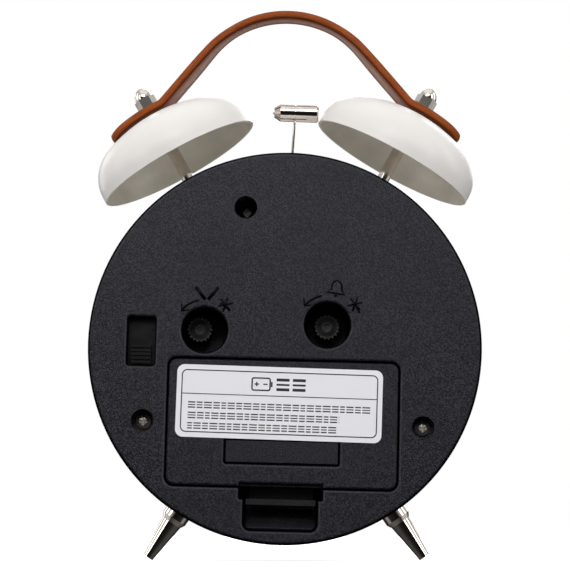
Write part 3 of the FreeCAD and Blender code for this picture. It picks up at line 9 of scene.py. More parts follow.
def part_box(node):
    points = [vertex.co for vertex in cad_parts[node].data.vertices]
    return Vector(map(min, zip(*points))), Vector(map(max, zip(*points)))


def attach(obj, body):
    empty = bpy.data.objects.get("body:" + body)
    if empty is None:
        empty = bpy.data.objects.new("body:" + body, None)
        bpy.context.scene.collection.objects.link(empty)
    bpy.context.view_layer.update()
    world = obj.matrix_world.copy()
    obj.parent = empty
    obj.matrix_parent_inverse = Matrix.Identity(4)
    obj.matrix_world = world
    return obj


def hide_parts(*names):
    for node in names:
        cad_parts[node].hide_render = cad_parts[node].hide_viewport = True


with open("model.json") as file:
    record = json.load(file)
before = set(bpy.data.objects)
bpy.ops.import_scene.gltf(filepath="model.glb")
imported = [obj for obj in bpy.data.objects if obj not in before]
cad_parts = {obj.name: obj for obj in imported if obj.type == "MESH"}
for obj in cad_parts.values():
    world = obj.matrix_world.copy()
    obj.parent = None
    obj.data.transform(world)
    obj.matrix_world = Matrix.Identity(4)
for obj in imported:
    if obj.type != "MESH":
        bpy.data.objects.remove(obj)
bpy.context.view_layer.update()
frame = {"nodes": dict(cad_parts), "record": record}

MM = 0.001
NODES = frame["nodes"]

# ---- places taken from the frame ---------------------------------------------------------------------------

COVER_LOW, COVER_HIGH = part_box("back_cover")
AXIS = Vector(((COVER_LOW.x + COVER_HIGH.x) / 2, 0, (COVER_LOW.z + COVER_HIGH.z) / 2))
DOOR_SINK = 0.3 * MM
COVER_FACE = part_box("battery_door")[1].y + DOOR_SINK
COVER_TWIST = math.radians(1.5)
DIAL_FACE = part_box("dial")[0].y

# The bells lean out from upright and their crowns are parts of a sphere. Millimetres; reaches start at the
# case's axis.
BELL_ANGLE = math.radians(29)
BELL_RIM_REACH = 64.2
BELL_HEIGHT = 16.0
CROWN = 45.0
CROWN_REACH = BELL_RIM_REACH + BELL_HEIGHT - CROWN


def on_cover(side, up, out=0.0):
    """Point on the back cover's face: millimetres along the cover's own level and upright, and proud of it."""
    x = side * math.cos(COVER_TWIST) - up * math.sin(COVER_TWIST)
    z = side * math.sin(COVER_TWIST) + up * math.cos(COVER_TWIST)
    return Vector((AXIS.x + x * MM, COVER_FACE + out * MM, AXIS.z + z * MM))


def cover_spot(node, side=0.0, up=0.0):
    """Centre of a CAD node in the cover's own axes, in millimetres, moved by side and up."""
    low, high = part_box(node)
    x, z = ((low.x + high.x) / 2 - AXIS.x) / MM, ((low.z + high.z) / 2 - AXIS.z) / MM
    return (x * math.cos(COVER_TWIST) + z * math.sin(COVER_TWIST) + side,
            -x * math.sin(COVER_TWIST) + z * math.cos(COVER_TWIST) + up)


TIME_HOLE = cover_spot("time_knob", -1.8, -0.85)
ALARM_HOLE = cover_spot("alarm_knob", -0.1, -0.2)
DOOR = cover_spot("battery_door", 0.0, -1.05)


def from_door(side, up):
    """Place on the cover, in millimetres from the middle of the door."""
    return (DOOR[0] + side, DOOR[1] + up)


# Rims in the cover and the door: centre, half size and corner radius, in millimetres.
OPENINGS = {
    "door": (DOOR, (32.2, 17.75), 2.55),
    "time_knob": (TIME_HOLE, (6.3, 6.3), 6.3),
    "alarm_knob": (ALARM_HOLE, (6.3, 6.3), 6.3),
    "blank_plate": (from_door(0, -7.85), (15.9, 3.35), 0.5),
    "switch_window": (from_door(40.0, 22.1), (3.85, 6.75), 0.8),
    "latch_slot": (from_door(0, -18.85), (11.45, 2.05), 0.3),
    "finger_pocket": (from_door(0, -24.6), (10.2, 4.9), 2.0),
}


# ---- material nodes ----------------------------------------------------------------------------------------

class Look:
    """A Principled material, with short calls for the textures that vary it."""

    def __init__(self, name, roughness=0.5, metallic=0.0, **sockets):
        self.material = bpy.data.materials.new(name)
        self.material.use_nodes = True
        self.tree = self.material.node_tree
        self.shader = self.tree.nodes["Principled BSDF"]
        self.shader.inputs["Roughness"].default_value = roughness
        self.shader.inputs["Metallic"].default_value = metallic
        for key, value in sockets.items():
            self.shader.inputs[key.replace("_", " ")].default_value = value
        self.place = self.tree.nodes.new("ShaderNodeTexCoord").outputs["Object"]
        self.last_bump = None

    def node(self, kind, inputs=(), **settings):
        made = self.tree.nodes.new("ShaderNode" + kind)
        for key, value in settings.items():
            setattr(made, key, value)
        for key, value in dict(inputs).items():
            if isinstance(value, bpy.types.NodeSocket):
                self.tree.links.new(value, made.inputs[key])
            else:
                made.inputs[key].default_value = value
        return made

    def stretched(self, x, y, z, turn=(0, 0, 0)):
        """Object coordinates scaled along each axis."""
        return self.node("Mapping", {"Vector": self.place, "Scale": (x, y, z), "Rotation": turn}).outputs[0]

    def noise(self, size, detail=3.0, rough=0.5, place=None, distortion=0.0):
        """Noise whose features are about size millimetres."""
        inputs = {"Vector": place or self.place, "Scale": 1 / (size * MM), "Detail": detail, "Roughness": rough,
                  "Distortion": distortion}
        return self.node("TexNoise", inputs).outputs["Fac"]

    def cells(self, size, feature="F1", randomness=1.0):
        """Distance in a cell pattern whose cells are about size millimetres."""
        inputs = {"Vector": self.place, "Scale": 1 / (size * MM), "Randomness": randomness}
        return self.node("TexVoronoi", inputs, feature=feature).outputs["Distance"]

    def span(self, value, low, high, start=0.0, end=1.0):
        """Value taken from low..high to start..end."""
        inputs = {"Value": value, "From Min": low, "From Max": high, "To Min": start, "To Max": end}
        return self.node("MapRange", inputs).outputs[0]

    def math(self, operation, first, second=0.0):
        return self.node("Math", {0: first, 1: second}, operation=operation).outputs[0]

    def vector(self, operation, first, second=(0, 0, 0), output=0):
        return self.node("VectorMath", {0: first, 1: second}, operation=operation).outputs[output]

    def mixed(self, share, first, second):
        """Colour between two, each a texture or three linear values."""
        inputs = {0: share}
        for index, value in ((6, first), (7, second)):
            inputs[index] = value if isinstance(value, bpy.types.NodeSocket) else (*value, 1)
        return self.node("Mix", inputs, data_type="RGBA").outputs[2]

    def varied(self, socket, value):
        """Drives one of the shader's inputs with a texture."""
        self.tree.links.new(value, self.shader.inputs[socket])
        return self

    def colour(self, value):
        return self.varied("Base Color", value)

    def rough(self, value):
        return self.varied("Roughness", value)

    def bump(self, height, depth):
        """Adds relief: depth in millimetres for a height from 0 to 1."""
        made = self.node("Bump", {"Height": height, "Distance": depth * MM, "Strength": 1.0})
        if self.last_bump is not None:
            self.tree.links.new(self.last_bump, made.inputs["Normal"])
        self.last_bump = made.outputs[0]
        return self.varied("Normal", self.last_bump)


def linear(red, green, blue):
    """Linear colour of 8-bit screen values."""
    def one(value):
        share = value / 255
        return share / 12.92 if share <= 0.04045 else ((share + 0.055) / 1.055) ** 2.4
    return (one(red), one(green), one(blue))


def dimmed(colour, share):
    return tuple(share * part for part in colour)


def enamel_tone(look, colour, shade):
    """Slow drift of tone over a sprayed face."""
    return look.mixed(look.span(look.noise(22, 2), 0.35, 0.65), colour, shade)


def enamel_skin(look):
    """Satin sheen, faint orange peel and dust specks."""
    look.rough(look.span(look.noise(5, 4, 0.6), 0.3, 0.7, 0.31, 0.42))
    look.bump(look.noise(1.5, 2), 0.012)
    return look.bump(look.noise(0.22, 2), 0.003)


def paint(name, colour, shade):
    """Sprayed satin enamel."""
    look = Look(name, 0.36, Specular_IOR_Level=0.4, Coat_Weight=0.12, Coat_Roughness=0.25)
    look.colour(enamel_tone(look, colour, shade))
    return enamel_skin(look).material


def bell_paint(name, outside, shade, hollow_shade, node):
    """Enamel outside, and a darker beige on the faces that look towards the middle of the bell's sphere: painted
    shade of the bell's hollow.
    """
    look = Look(name, 0.36, Specular_IOR_Level=0.4, Coat_Weight=0.1, Coat_Roughness=0.25)
    low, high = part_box(node)
    side = 1 if low.x + high.x > AXIS.x else -1
    out = Vector((side * math.sin(BELL_ANGLE), 0, math.cos(BELL_ANGLE)))
    centre = Vector((AXIS.x, 0, AXIS.z)) + out * CROWN_REACH * MM
    away = look.vector("SUBTRACT", look.place, centre)
    normal = look.node("NewGeometry").outputs["True Normal"]
    facing = look.vector("DOT_PRODUCT", normal, away, "Value")
    inner = look.span(facing, -0.5 * MM, 0.5 * MM, 1, 0)
    cloud = look.span(look.noise(9, 3, 0.6), 0.3, 0.7)
    # painted shade of the hollow, mottled a little
    hollow_shade_tone = look.mixed(cloud, hollow_shade, dimmed(hollow_shade, 0.86))
    look.colour(look.mixed(inner, enamel_tone(look, outside, shade), hollow_shade_tone))
    return enamel_skin(look).material


# Millimetres: the cover's grain, the rounding of each rim, the width of the painted shade in the seam along each
# rim, and the painted shade band just within the cover's outer edge; then the black of that painted shade.
COVER_SPECULAR = 0.46
COVER_GRAIN, COVER_GRAIN_DEPTH = 0.36, 0.06
RIM_ROUND, RIM_DEPTH = (0.1, 0.8), 0.5
GROOVE_SHADE_FADE = (0.25, 0.5)
EDGE_SHADE_FADE = (-0.85, -0.5)
PAINTED_SHADE_BLACK = (0.0008, 0.0008, 0.001)


def spark_plastic(name, colour, light):
    """Moulded ABS with a spark-eroded skin: fine pits, and lighter peaks where it has been handled."""
    look = Look(name, 0.5, Specular_IOR_Level=COVER_SPECULAR, Specular_Tint=(0.9, 0.89, 1.0, 1))
    fine = look.noise(COVER_GRAIN, 3, 0.6)
    pits = look.cells(COVER_GRAIN * 1.3)
    slow = look.noise(26, 3, 0.6)
    toned = look.mixed(look.span(fine, 0.44, 0.6), colour, light)
    look.colour(look.mixed(look.span(slow, 0.35, 0.7, 0, 0.35), toned, dimmed(colour, 0.7)))
    look.rough(look.span(look.math("ADD", fine, look.math("MULTIPLY", slow, 0.5)), 0.5, 1.0, 0.36, 0.5))
    look.bump(fine, COVER_GRAIN_DEPTH)
    return look.bump(pits, COVER_GRAIN_DEPTH * 0.5)


def rim_distance(look):
    """Distance along the cover to the nearest opening's rim."""
    levelled = look.node("VectorRotate", {"Vector": look.place, "Center": on_cover(0, 0), "Angle": COVER_TWIST},
                         rotation_type="Y_AXIS").outputs[0]
    nearest = None
    for centre, half, corner in OPENINGS.values():
        middle = Vector((AXIS.x + centre[0] * MM, COVER_FACE, AXIS.z + centre[1] * MM))
        inset = Vector(((half[0] - corner) * MM, 1.0, (half[1] - corner) * MM))
        away = look.vector("ABSOLUTE", look.vector("SUBTRACT", levelled, middle))
        away = look.vector("MAXIMUM", look.vector("SUBTRACT", away, inset))
        gap = look.vector("LENGTH", away, output="Value")
        gap = look.math("ABSOLUTE", look.math("SUBTRACT", gap, corner * MM))
        nearest = gap if nearest is None else look.math("MINIMUM", nearest, gap)
    return nearest


def cover_skin(name, colour, light):
    """Moulding of the cover and the door: spark-eroded, with rounded rims, painted shade in the seam along each rim
    and a painted shade band round the outer edge.
    """
    look = spark_plastic(name, colour, light)
    gap = rim_distance(look)
    look.bump(look.span(gap, RIM_ROUND[0] * MM, RIM_ROUND[1] * MM), RIM_DEPTH)
    radius = look.vector("DISTANCE", look.place, on_cover(0, 0), "Value")
    reach = COVER_HIGH.x - AXIS.x
    # painted shade and painted dark reflection: a black band just within the cover's outer edge
    band = look.span(radius, reach + EDGE_SHADE_FADE[0] * MM, reach + EDGE_SHADE_FADE[1] * MM)
    # painted shade: the plastic turns black beside each opening's rim, standing for shade in the groove
    groove_shade = look.span(gap, GROOVE_SHADE_FADE[0] * MM, GROOVE_SHADE_FADE[1] * MM, 1, 0)
    shade = look.math("MAXIMUM", band, groove_shade)
    # where the painted shade lies, the reflection is taken away and the colour turns black
    look.varied("Specular IOR Level", look.span(shade, 0, 1, COVER_SPECULAR, 0.0))
    toned = look.shader.inputs["Base Color"].links[0].from_socket
    look.colour(look.mixed(look.math("MULTIPLY", shade, 0.9), toned, PAINTED_SHADE_BLACK))
    return look.material


def smooth_plastic(name, colour, roughness=(0.3, 0.45), subsurface=0.0):
    """Moulded part with a fine matt skin and faint flow marks."""
    look = Look(name, 0.4, Specular_IOR_Level=0.4, Subsurface_Weight=subsurface, Subsurface_Scale=0.001)
    flow = look.noise(7, 3, 0.5, distortion=1.2)
    look.colour(look.mixed(look.span(flow, 0.3, 0.7), colour, dimmed(colour, 0.82)))
    look.rough(look.span(look.noise(2.5, 4), 0.3, 0.7, *roughness))
    return look.bump(look.noise(0.5, 3, 0.6), 0.008).material


def mark_moulding(name):
    """Raised symbols in the cover's plastic, left smooth and so darker than the skin round them."""
    look = Look(name, 0.4, Specular_IOR_Level=0.08)
    mottle = look.span(look.noise(0.5, 3), 0.35, 0.65)
    look.colour(look.mixed(mottle, (0.0003, 0.0003, 0.0004), (0.001, 0.001, 0.0014)))
    look.rough(look.span(look.noise(1.2, 2), 0.3, 0.7, 0.3, 0.45))
    return look.bump(look.noise(0.4, 2), 0.01).material


def knob_moulding(name, node):
    """Black knob whose teeth and middle have worn paler than its face."""
    low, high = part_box(node)
    look = Look(name, 0.3, Specular_IOR_Level=0.5)
    middle = (low + high) / 2
    flat = look.vector("MULTIPLY", look.place, (1, 0, 1))
    reach = look.vector("DISTANCE", flat, (middle.x, 0, middle.z), "Value")
    teeth = look.span(reach, 2.6 * MM, 3.4 * MM)
    centre = look.span(reach, 1.2 * MM, 1.5 * MM, 1, 0)
    patchy = look.span(look.noise(1.1, 3), 0.2, 0.6, 0.6, 1)
    wear = look.math("MULTIPLY", look.math("MAXIMUM", teeth, centre), patchy)
    look.colour(look.mixed(wear, (0.007, 0.007, 0.007), (0.10, 0.10, 0.095)))
    look.rough(look.span(look.noise(2.5, 4), 0.3, 0.7, 0.24, 0.36))
    return look.bump(look.noise(0.5, 3, 0.6), 0.008).material


def screw_heads(name):
    """Nickelled screws: satin heads, with the driver's marks."""
    look = Look(name, 0.4, metallic=1.0)
    wear = look.noise(0.6, 3, 0.6)
    look.colour(look.mixed(look.span(wear, 0.35, 0.65), (0.95, 0.88, 0.79), (0.76, 0.70, 0.62)))
    look.rough(look.span(look.noise(1.2, 3), 0.3, 0.7, 0.28, 0.4))
    return look.bump(wear, 0.03).material


def plated(name, colour, shade):
    """Bright nickel or chrome: handling smudges, hairline scratches and a faint waviness."""
    look = Look(name, 0.08, metallic=1.0)
    smudge = look.span(look.noise(3.2, 4, 0.6), 0.45, 0.72)
    look.colour(look.mixed(smudge, colour, shade))
    look.rough(look.span(smudge, 0, 1, 0.06, 0.16))
    hair = look.noise(0.12, 2, 0.5, look.stretched(0.06, 1, 1, (0.3, 0.5, 0.2)))
    look.bump(look.span(hair, 0.55, 0.62), 0.0008)
    return look.bump(look.noise(4, 1), 0.004).material


def brushed(name, colour, shade, axis=(0.04, 1, 1), roughness=(0.24, 0.42)):
    """Sheet steel or turned metal with fine lines along one axis."""
    look = Look(name, 0.3, metallic=1.0)
    lines = look.noise(0.14, 3, 0.6, look.stretched(*axis))
    look.colour(look.mixed(look.span(lines, 0.35, 0.65), colour, shade))
    look.rough(look.span(look.noise(2, 3), 0.3, 0.7, *roughness))
    return look.bump(lines, 0.004).material


def flat_print(name, colour, shade, roughness=(0.4, 0.55)):
    """Ink or paper: fibre-scale mottling."""
    look = Look(name, 0.5, Specular_IOR_Level=0.35)
    mottle = look.noise(0.35, 4, 0.65)
    look.colour(look.mixed(look.span(mottle, 0.35, 0.65), colour, shade))
    look.rough(look.span(look.noise(3, 3), 0.3, 0.7, *roughness))
    return look.bump(mottle, 0.004).material


def clear_plastic(name):
    """Thin polished acrylic with light smears."""
    look = Look(name, 0.03, Specular_IOR_Level=0.5, IOR=1.49)
    look.colour(look.mixed(look.span(look.noise(30, 2), 0.4, 0.6), (0.10, 0.11, 0.11), (0.14, 0.15, 0.15)))
    smear = look.span(look.noise(8, 3, 0.6, distortion=0.8), 0.5, 0.8)
    look.rough(look.span(smear, 0, 1, 0.02, 0.09))
    look.varied("Alpha", look.span(smear, 0, 1, 0.07, 0.1))
    look.material.surface_render_method = "BLENDED"
    return look.material


def leather_grain(name):
    """Smooth vegetable-tanned face: pebble grain, pores, darker creases and a waxed sheen."""
    look = Look(name, 0.4, Specular_IOR_Level=0.3, Coat_Weight=0.06, Coat_Roughness=0.3)
    pebble = look.cells(0.9, "SMOOTH_F1")
    crack = look.cells(1.3, "DISTANCE_TO_EDGE", randomness=0.9)
    slow = look.noise(11, 4, 0.6)
    tan = look.mixed(look.span(slow, 0.3, 0.7), linear(146, 74, 32), linear(118, 56, 24))
    crease = look.span(crack, 0.0, 0.12, 1, 0)
    look.colour(look.mixed(look.math("MULTIPLY", crease, 0.45), tan, linear(88, 38, 16)))
    look.rough(look.span(look.noise(1.8, 4, 0.6), 0.3, 0.7, 0.34, 0.52))
    look.bump(look.span(crack, 0.0, 0.16), 0.035)
    look.bump(pebble, 0.02)
    return look.bump(look.noise(0.2, 3, 0.6), 0.012).material


def leather_edge(name):
    """Cut and burnished edge: layers run along the strap, darker towards its lower and upper corners."""
    look = Look(name, 0.5, Specular_IOR_Level=0.12)
    ribbon = look.node("TexCoord").outputs["UV"]
    drawn_out = look.node("Mapping", {"Vector": ribbon, "Scale": (0.18, 5, 1)}).outputs[0]
    inputs = {"Vector": drawn_out, "Scale": 1.0, "Detail": 4.0, "Roughness": 0.6}
    lines = look.node("TexNoise", inputs).outputs["Fac"]
    across = look.node("SeparateXYZ", {0: ribbon}).outputs[1]
    tan = look.mixed(look.span(lines, 0.32, 0.68), linear(112, 50, 14), linear(164, 82, 30))
    low = look.span(across, -0.9, -0.35, 1, 0)
    high = look.span(across, 0.72, 1.0, 0, 0.8)
    dark = look.math("MAXIMUM", low, high)
    look.colour(look.mixed(look.math("MULTIPLY", dark, 0.92), tan, linear(62, 21, 5)))
    look.rough(look.span(lines, 0.3, 0.7, 0.42, 0.6))
    look.bump(lines, 0.05)
    return look.bump(look.noise(0.25, 3, 0.6), 0.015).material


def suede(name):
    """Split-leather underside: pale cloudy nap, stained by the edge dye towards its sides."""
    look = Look(name, 0.95, Specular_IOR_Level=0.1, Sheen_Weight=0.12, Sheen_Roughness=0.5)
    nap = look.noise(0.28, 5, 0.75)
    cloud = look.noise(3.5, 4, 0.6)
    tone = look.mixed(look.span(cloud, 0.3, 0.7), linear(172, 138, 122), linear(148, 114, 99))
    tone = look.mixed(look.span(nap, 0.35, 0.7, 0, 0.6), tone, linear(190, 160, 146))
    ribbon = look.node("TexCoord").outputs["UV"]
    side = look.math("ABSOLUTE", look.node("SeparateXYZ", {0: ribbon}).outputs[1])
    stain = look.span(look.math("ADD", side, look.math("MULTIPLY", cloud, 0.12)), 0.25, 0.9)
    look.colour(look.mixed(stain, tone, linear(128, 68, 42)))
    look.rough(look.span(nap, 0.2, 0.8, 0.86, 1.0))
    look.bump(nap, 0.04)
    return look.bump(cloud, 0.06).material


def cell_sleeve(name, low, high):
    """Shrink sleeve in graphite with a copper shoulder band, and bare steel at both ends."""
    look = Look(name, 0.28, Coat_Weight=0.4, Coat_Roughness=0.08)
    along = look.node("SeparateXYZ", {0: look.place}).outputs[0]
    share = look.span(along, low.x, high.x)
    band = look.math("MULTIPLY", look.span(share, 0.70, 0.705), look.span(share, 0.94, 0.945, 1, 0))
    ends = look.math("MAXIMUM", look.span(share, 0.025, 0.03, 1, 0), look.span(share, 0.955, 0.96))
    mottle = look.span(look.noise(1.2, 3), 0.3, 0.7)
    graphite = look.mixed(mottle, (0.02, 0.022, 0.026), (0.03, 0.032, 0.038))
    sleeve = look.mixed(band, graphite, (0.55, 0.26, 0.1))
    look.colour(look.mixed(ends, sleeve, (0.62, 0.61, 0.6)))
    look.varied("Metallic", look.math("MAXIMUM", ends, look.math("MULTIPLY", band, 0.7)))
    look.rough(look.span(look.noise(2, 3), 0.3, 0.7, 0.2, 0.34))
    return look.bump(look.noise(5, 2), 0.02).material


def winding(name):
    """Enamelled copper wire wound side by side."""
    look = Look(name, 0.25, metallic=1.0, Coat_Weight=0.6, Coat_Roughness=0.1)
    wire = 0.25 * MM
    wires = look.node("TexWave", {"Vector": look.place, "Scale": 1 / wire / 6.28, "Distortion": 0.4},
                      bands_direction="X").outputs["Fac"]
    look.colour(look.mixed(wires, (0.32, 0.1, 0.035), (0.72, 0.3, 0.12)))
    look.rough(look.span(look.noise(1, 3), 0.3, 0.7, 0.2, 0.35))
    return look.bump(wires, 0.06).material


def circuit_board(name):
    """Green solder mask with raised tracks under it."""
    look = Look(name, 0.35, Coat_Weight=0.3, Coat_Roughness=0.15)
    tracks = look.node("TexBrick", {"Vector": look.stretched(1, 1, 1, (math.pi / 2, 0, 0)), "Scale": 220.0,
                                    "Mortar Size": 0.04, "Mortar Smooth": 0.2}).outputs["Fac"]
    look.colour(look.mixed(tracks, (0.02, 0.11, 0.045), (0.05, 0.24, 0.09)))
    look.rough(look.span(look.noise(1.5, 3), 0.3, 0.7, 0.3, 0.42))
    look.bump(tracks, 0.03)
    return look.bump(look.noise(0.3, 2), 0.005).material


# ---- the finish of every CAD node --------------------------------------------------------------------------

WHITE, WHITE_SHADE = (0.80, 0.775, 0.745), (0.77, 0.74, 0.71)
# painted shade: the darker beige of the bells' hollows
BELL_HOLLOW_SHADE = (0.76, 0.725, 0.65)
FINISHES = {
    "case_paint": paint("case_enamel", WHITE, WHITE_SHADE),
    "cover_abs": cover_skin("cover_abs_skin", (0.0004, 0.0004, 0.0008), (0.028, 0.0272, 0.036)),
    "black_plastic": smooth_plastic("black_moulding", (0.006, 0.006, 0.0065)),
    "white_plastic": smooth_plastic("white_moulding", (0.80, 0.79, 0.76), subsurface=0.05),
    "clear": clear_plastic("lens_acrylic"),
    "dial_print": flat_print("dial_card", (0.84, 0.825, 0.77), (0.81, 0.79, 0.73)),
    "label_paper": flat_print("label_stock", (0.86, 0.855, 0.885), (0.83, 0.825, 0.855), (0.36, 0.46)),
    "nickel": plated("bright_nickel", (0.76, 0.70, 0.64), (0.62, 0.56, 0.50)),
    "steel": brushed("zinc_steel", (0.55, 0.55, 0.54), (0.42, 0.42, 0.41)),
    "brass": brushed("turned_brass", (0.62, 0.44, 0.17), (0.48, 0.33, 0.12), (1, 0.05, 1), (0.2, 0.34)),
    "hand_black": paint("hand_enamel", (0.012, 0.012, 0.012), (0.02, 0.02, 0.02)),
    "hand_red": paint("second_enamel", (0.52, 0.02, 0.015), (0.42, 0.015, 0.012)),
    "gear_plastic": smooth_plastic("acetal", (0.72, 0.71, 0.65), roughness=(0.28, 0.4), subsurface=0.15),
    "copper": winding("coil_wire"),
    "board": circuit_board("board_mask"),
}


def dress(name, material):
    """Gives one CAD node its finish."""
    slots = NODES[name].data.materials
    slots.clear()
    slots.append(material)


def dress_nodes():
    """Finishes by material slot, then the nodes that need their own."""
    for part in frame["record"]["subparts"]:
        finish = FINISHES.get(part["material_slot"])
        if finish is not None:
            dress(part["node"], finish)
    for name in ("bell_left", "bell_right"):
        dress(name, bell_paint(name + "_enamel", WHITE, WHITE_SHADE, BELL_HOLLOW_SHADE, name))
    for name in ("cell_upper", "cell_lower"):
        dress(name, cell_sleeve(name + "_sleeve", *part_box(name)))
    for name in ("time_knob", "alarm_knob"):
        dress(name, knob_moulding(name + "_moulding", name))
    dress("cover_screws", screw_heads("cover_screw_nickel"))
    dress("switch_slider", smooth_plastic("switch_moulding", (0.006, 0.006, 0.0065), roughness=(0.26, 0.36)))
    dress("door_latch", smooth_plastic("latch_moulding", (0.014, 0.014, 0.0155), roughness=(0.28, 0.38)))
    dress("strap_handle", leather_grain("strap_hidden"))


# ---- mesh helpers ------------------------------------------------------------------------------------------

def new_piece(name, mesh_data, body, slot, *materials):
    """Links a finished mesh as one piece on a CAD body."""
    piece = bpy.data.objects.new(name, mesh_data)
    bpy.context.scene.collection.objects.link(piece)
    for material in materials:
        mesh_data.materials.append(material)
    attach(piece, body)
    return piece


def mesh_from(name, work, smooth=True):
    bmesh.ops.recalc_face_normals(work, faces=work.faces)
    data = bpy.data.meshes.new(name)
    work.to_mesh(data)
    work.free()
    for face in data.polygons:
        face.use_smooth = smooth
    return data


# Profile of a raised line: shares of its width and of its height.
RIDGE = ((-0.5, 0.0), (-0.42, 0.62), (-0.22, 1.0), (0.22, 1.0), (0.42, 0.62), (0.5, 0.0))


def bead(work, points, out, width, height, closed=False):
    """Raised line: a flat-topped ridge with rounded shoulders along points on a face."""
    count = len(points)
    rings = []
    for index, point in enumerate(points):
        before = points[index - 1] if index or closed else point
        after = points[(index + 1) % count] if index < count - 1 or closed else point
        heading = (after - before).normalized()
        side = heading.cross(out).normalized()
        rings.append([work.verts.new(point + side * width * part + out * height * rise) for part, rise in RIDGE])
    spans = count if closed else count - 1
    for index in range(spans):
        first, second = rings[index], rings[(index + 1) % count]
        for step in range(len(RIDGE) - 1):
            work.faces.new((first[step], first[step + 1], second[step + 1], second[step]))
    if not closed:
        for ring in (rings[0], rings[-1]):
            work.faces.new(ring)


def arc_points(centre, radius, start, end, steps=14):
    """Points of an arc on the cover, angles in degrees from level towards up."""
    points = []
    for step in range(steps + 1):
        angle = math.radians(start + (end - start) * step / steps)
        points.append((centre[0] + radius * math.cos(angle), centre[1] + radius * math.sin(angle)))
    return points


# ---- moulded pictograms round the two setting holes --------------------------------------------------------

# Millimetres from the middle of each setting hole.
MARK_WIDTH, THIN_MARK, STAR_WIDTH, MARK_HEIGHT = 0.62, 0.52, 0.58, 0.2
ARROW_RADII = (8.6, 8.4)
ARROW_HEAD = ((-6.7, 7.3), (-6.5, 5.3), (-4.7, 5.6))
STAR_PLACES = ((5.6, 7.3), (7.6, 6.1))
STAR_REACH = 2.1
BELL_OUTLINE = ((-0.4, 9.3), (0.9, 10.1), (1.05, 11.5), (1.6, 12.3), (2.45, 12.6), (3.3, 12.2), (3.75, 11.3),
                (3.75, 9.8), (4.7, 8.6))
BELL_CLAPPER = ((1.7, 8.55), (2.1, 8.15), (2.6, 8.45))


def cover_marks():
    """Turning arrows, a pair of clock hands, a bell and star grips, moulded proud of the cover."""
    work = bmesh.new()
    out = Vector((0, 1, 0))
    clock, bell = TIME_HOLE, ALARM_HOLE

    def line(points, width=MARK_WIDTH, closed=False):
        bead(work, [on_cover(*point) for point in points], out, width * MM, MARK_HEIGHT * MM, closed)

    def shifted(centre, points):
        return [(centre[0] - x, centre[1] + y) for x, y in points]

    for centre, radius in zip((clock, bell), ARROW_RADII):
        line(arc_points(centre, radius, 40, 78))
        line(shifted(centre, ARROW_HEAD), THIN_MARK)
    for turn in (14, 72, 130):
        across, along = STAR_REACH * math.cos(math.radians(turn)), STAR_REACH * math.sin(math.radians(turn))
        for centre, (x, y) in zip((clock, bell), STAR_PLACES):
            line(shifted(centre, [(x - across, y - along), (x + across, y + along)]), STAR_WIDTH)
    line(arc_points(clock, 8.8, 140, 118))
    line(arc_points(bell, 9.6, 158, 146))
    for side in (-1, 1):
        line(shifted(clock, [(0.3 + side * 0.35, 8.6), (0.3 + side * 3.2, 12.1)]), 1.0)
    line(shifted(bell, BELL_OUTLINE), THIN_MARK, closed=True)
    line(shifted(bell, BELL_CLAPPER), 0.55)
    data = mesh_from("cover_marks", work)
    new_piece("cover_marks", data, "case", "cover_abs", mark_moulding("mark_moulding"))


# ---- label print -------------------------------------------------------------------------------------------

def rounded_loop(centre, width, height, corner, steps=6):
    """Points round a rectangle with rounded corners."""
    points = []
    for x, y, start in ((1, 1, 0), (-1, 1, 90), (-1, -1, 180), (1, -1, 270)):
        middle = (centre[0] + x * (width / 2 - corner), centre[1] + y * (height / 2 - corner))
        points += arc_points(middle, corner, start, start + 90, steps)
    return points


# Millimetres from the middle of the label, right and up as it is read; bars are a place and a width.
PRINT_HEIGHT = 0.02
LABEL_TURN = math.radians(0.5)
LABEL_FRAME = (54.4, 17.2, 1.4)
LABEL_RULE = (27.1, 2.0)
HEADING_BARS = ((6.55, 0.8), (5.2, 0.55), (3.85, 0.8))
ROW_START = -25.3
ROWS = ((-1.1, 25.4), (-4.0, 16.8), (-6.9, 16.2))
ROW_BARS = ((0.72, 0.36), (0.0, 0.3), (-0.72, 0.36))
WORDS = (2.0, 1.6, 2.2, 1.8, 1.3)
WORD_GAP = 0.42


def label_heading(line):
    """Battery symbol with its terminal and signs, and two blocks of bars."""
    line(rounded_loop((-5.2, 5.2), 5.0, 3.4, 0.5), 0.42, closed=True)
    line([(-2.45, 5.2), (-2.0, 5.2)], 1.4)
    line([(-7.0, 5.2), (-5.8, 5.2)], 0.36)
    line([(-6.4, 4.6), (-6.4, 5.8)], 0.36)
    line([(-4.6, 5.2), (-3.4, 5.2)], 0.36)
    for start in (-0.9, 3.6):
        for up, width in HEADING_BARS:
            line([(start, up), (start + 3.6, up)], width)


def label_rows(line):
    """Three rows of short bars in place of the small print."""
    for row, (up, finish) in enumerate(ROWS):
        start = ROW_START
        index = 0
        while start < finish:
            length = WORDS[(index + row * 2) % len(WORDS)]
            for rise, width in ROW_BARS:
                line([(start, up + rise), (min(start + length, finish), up + rise)], width)
            start += length + WORD_GAP
            index += 1


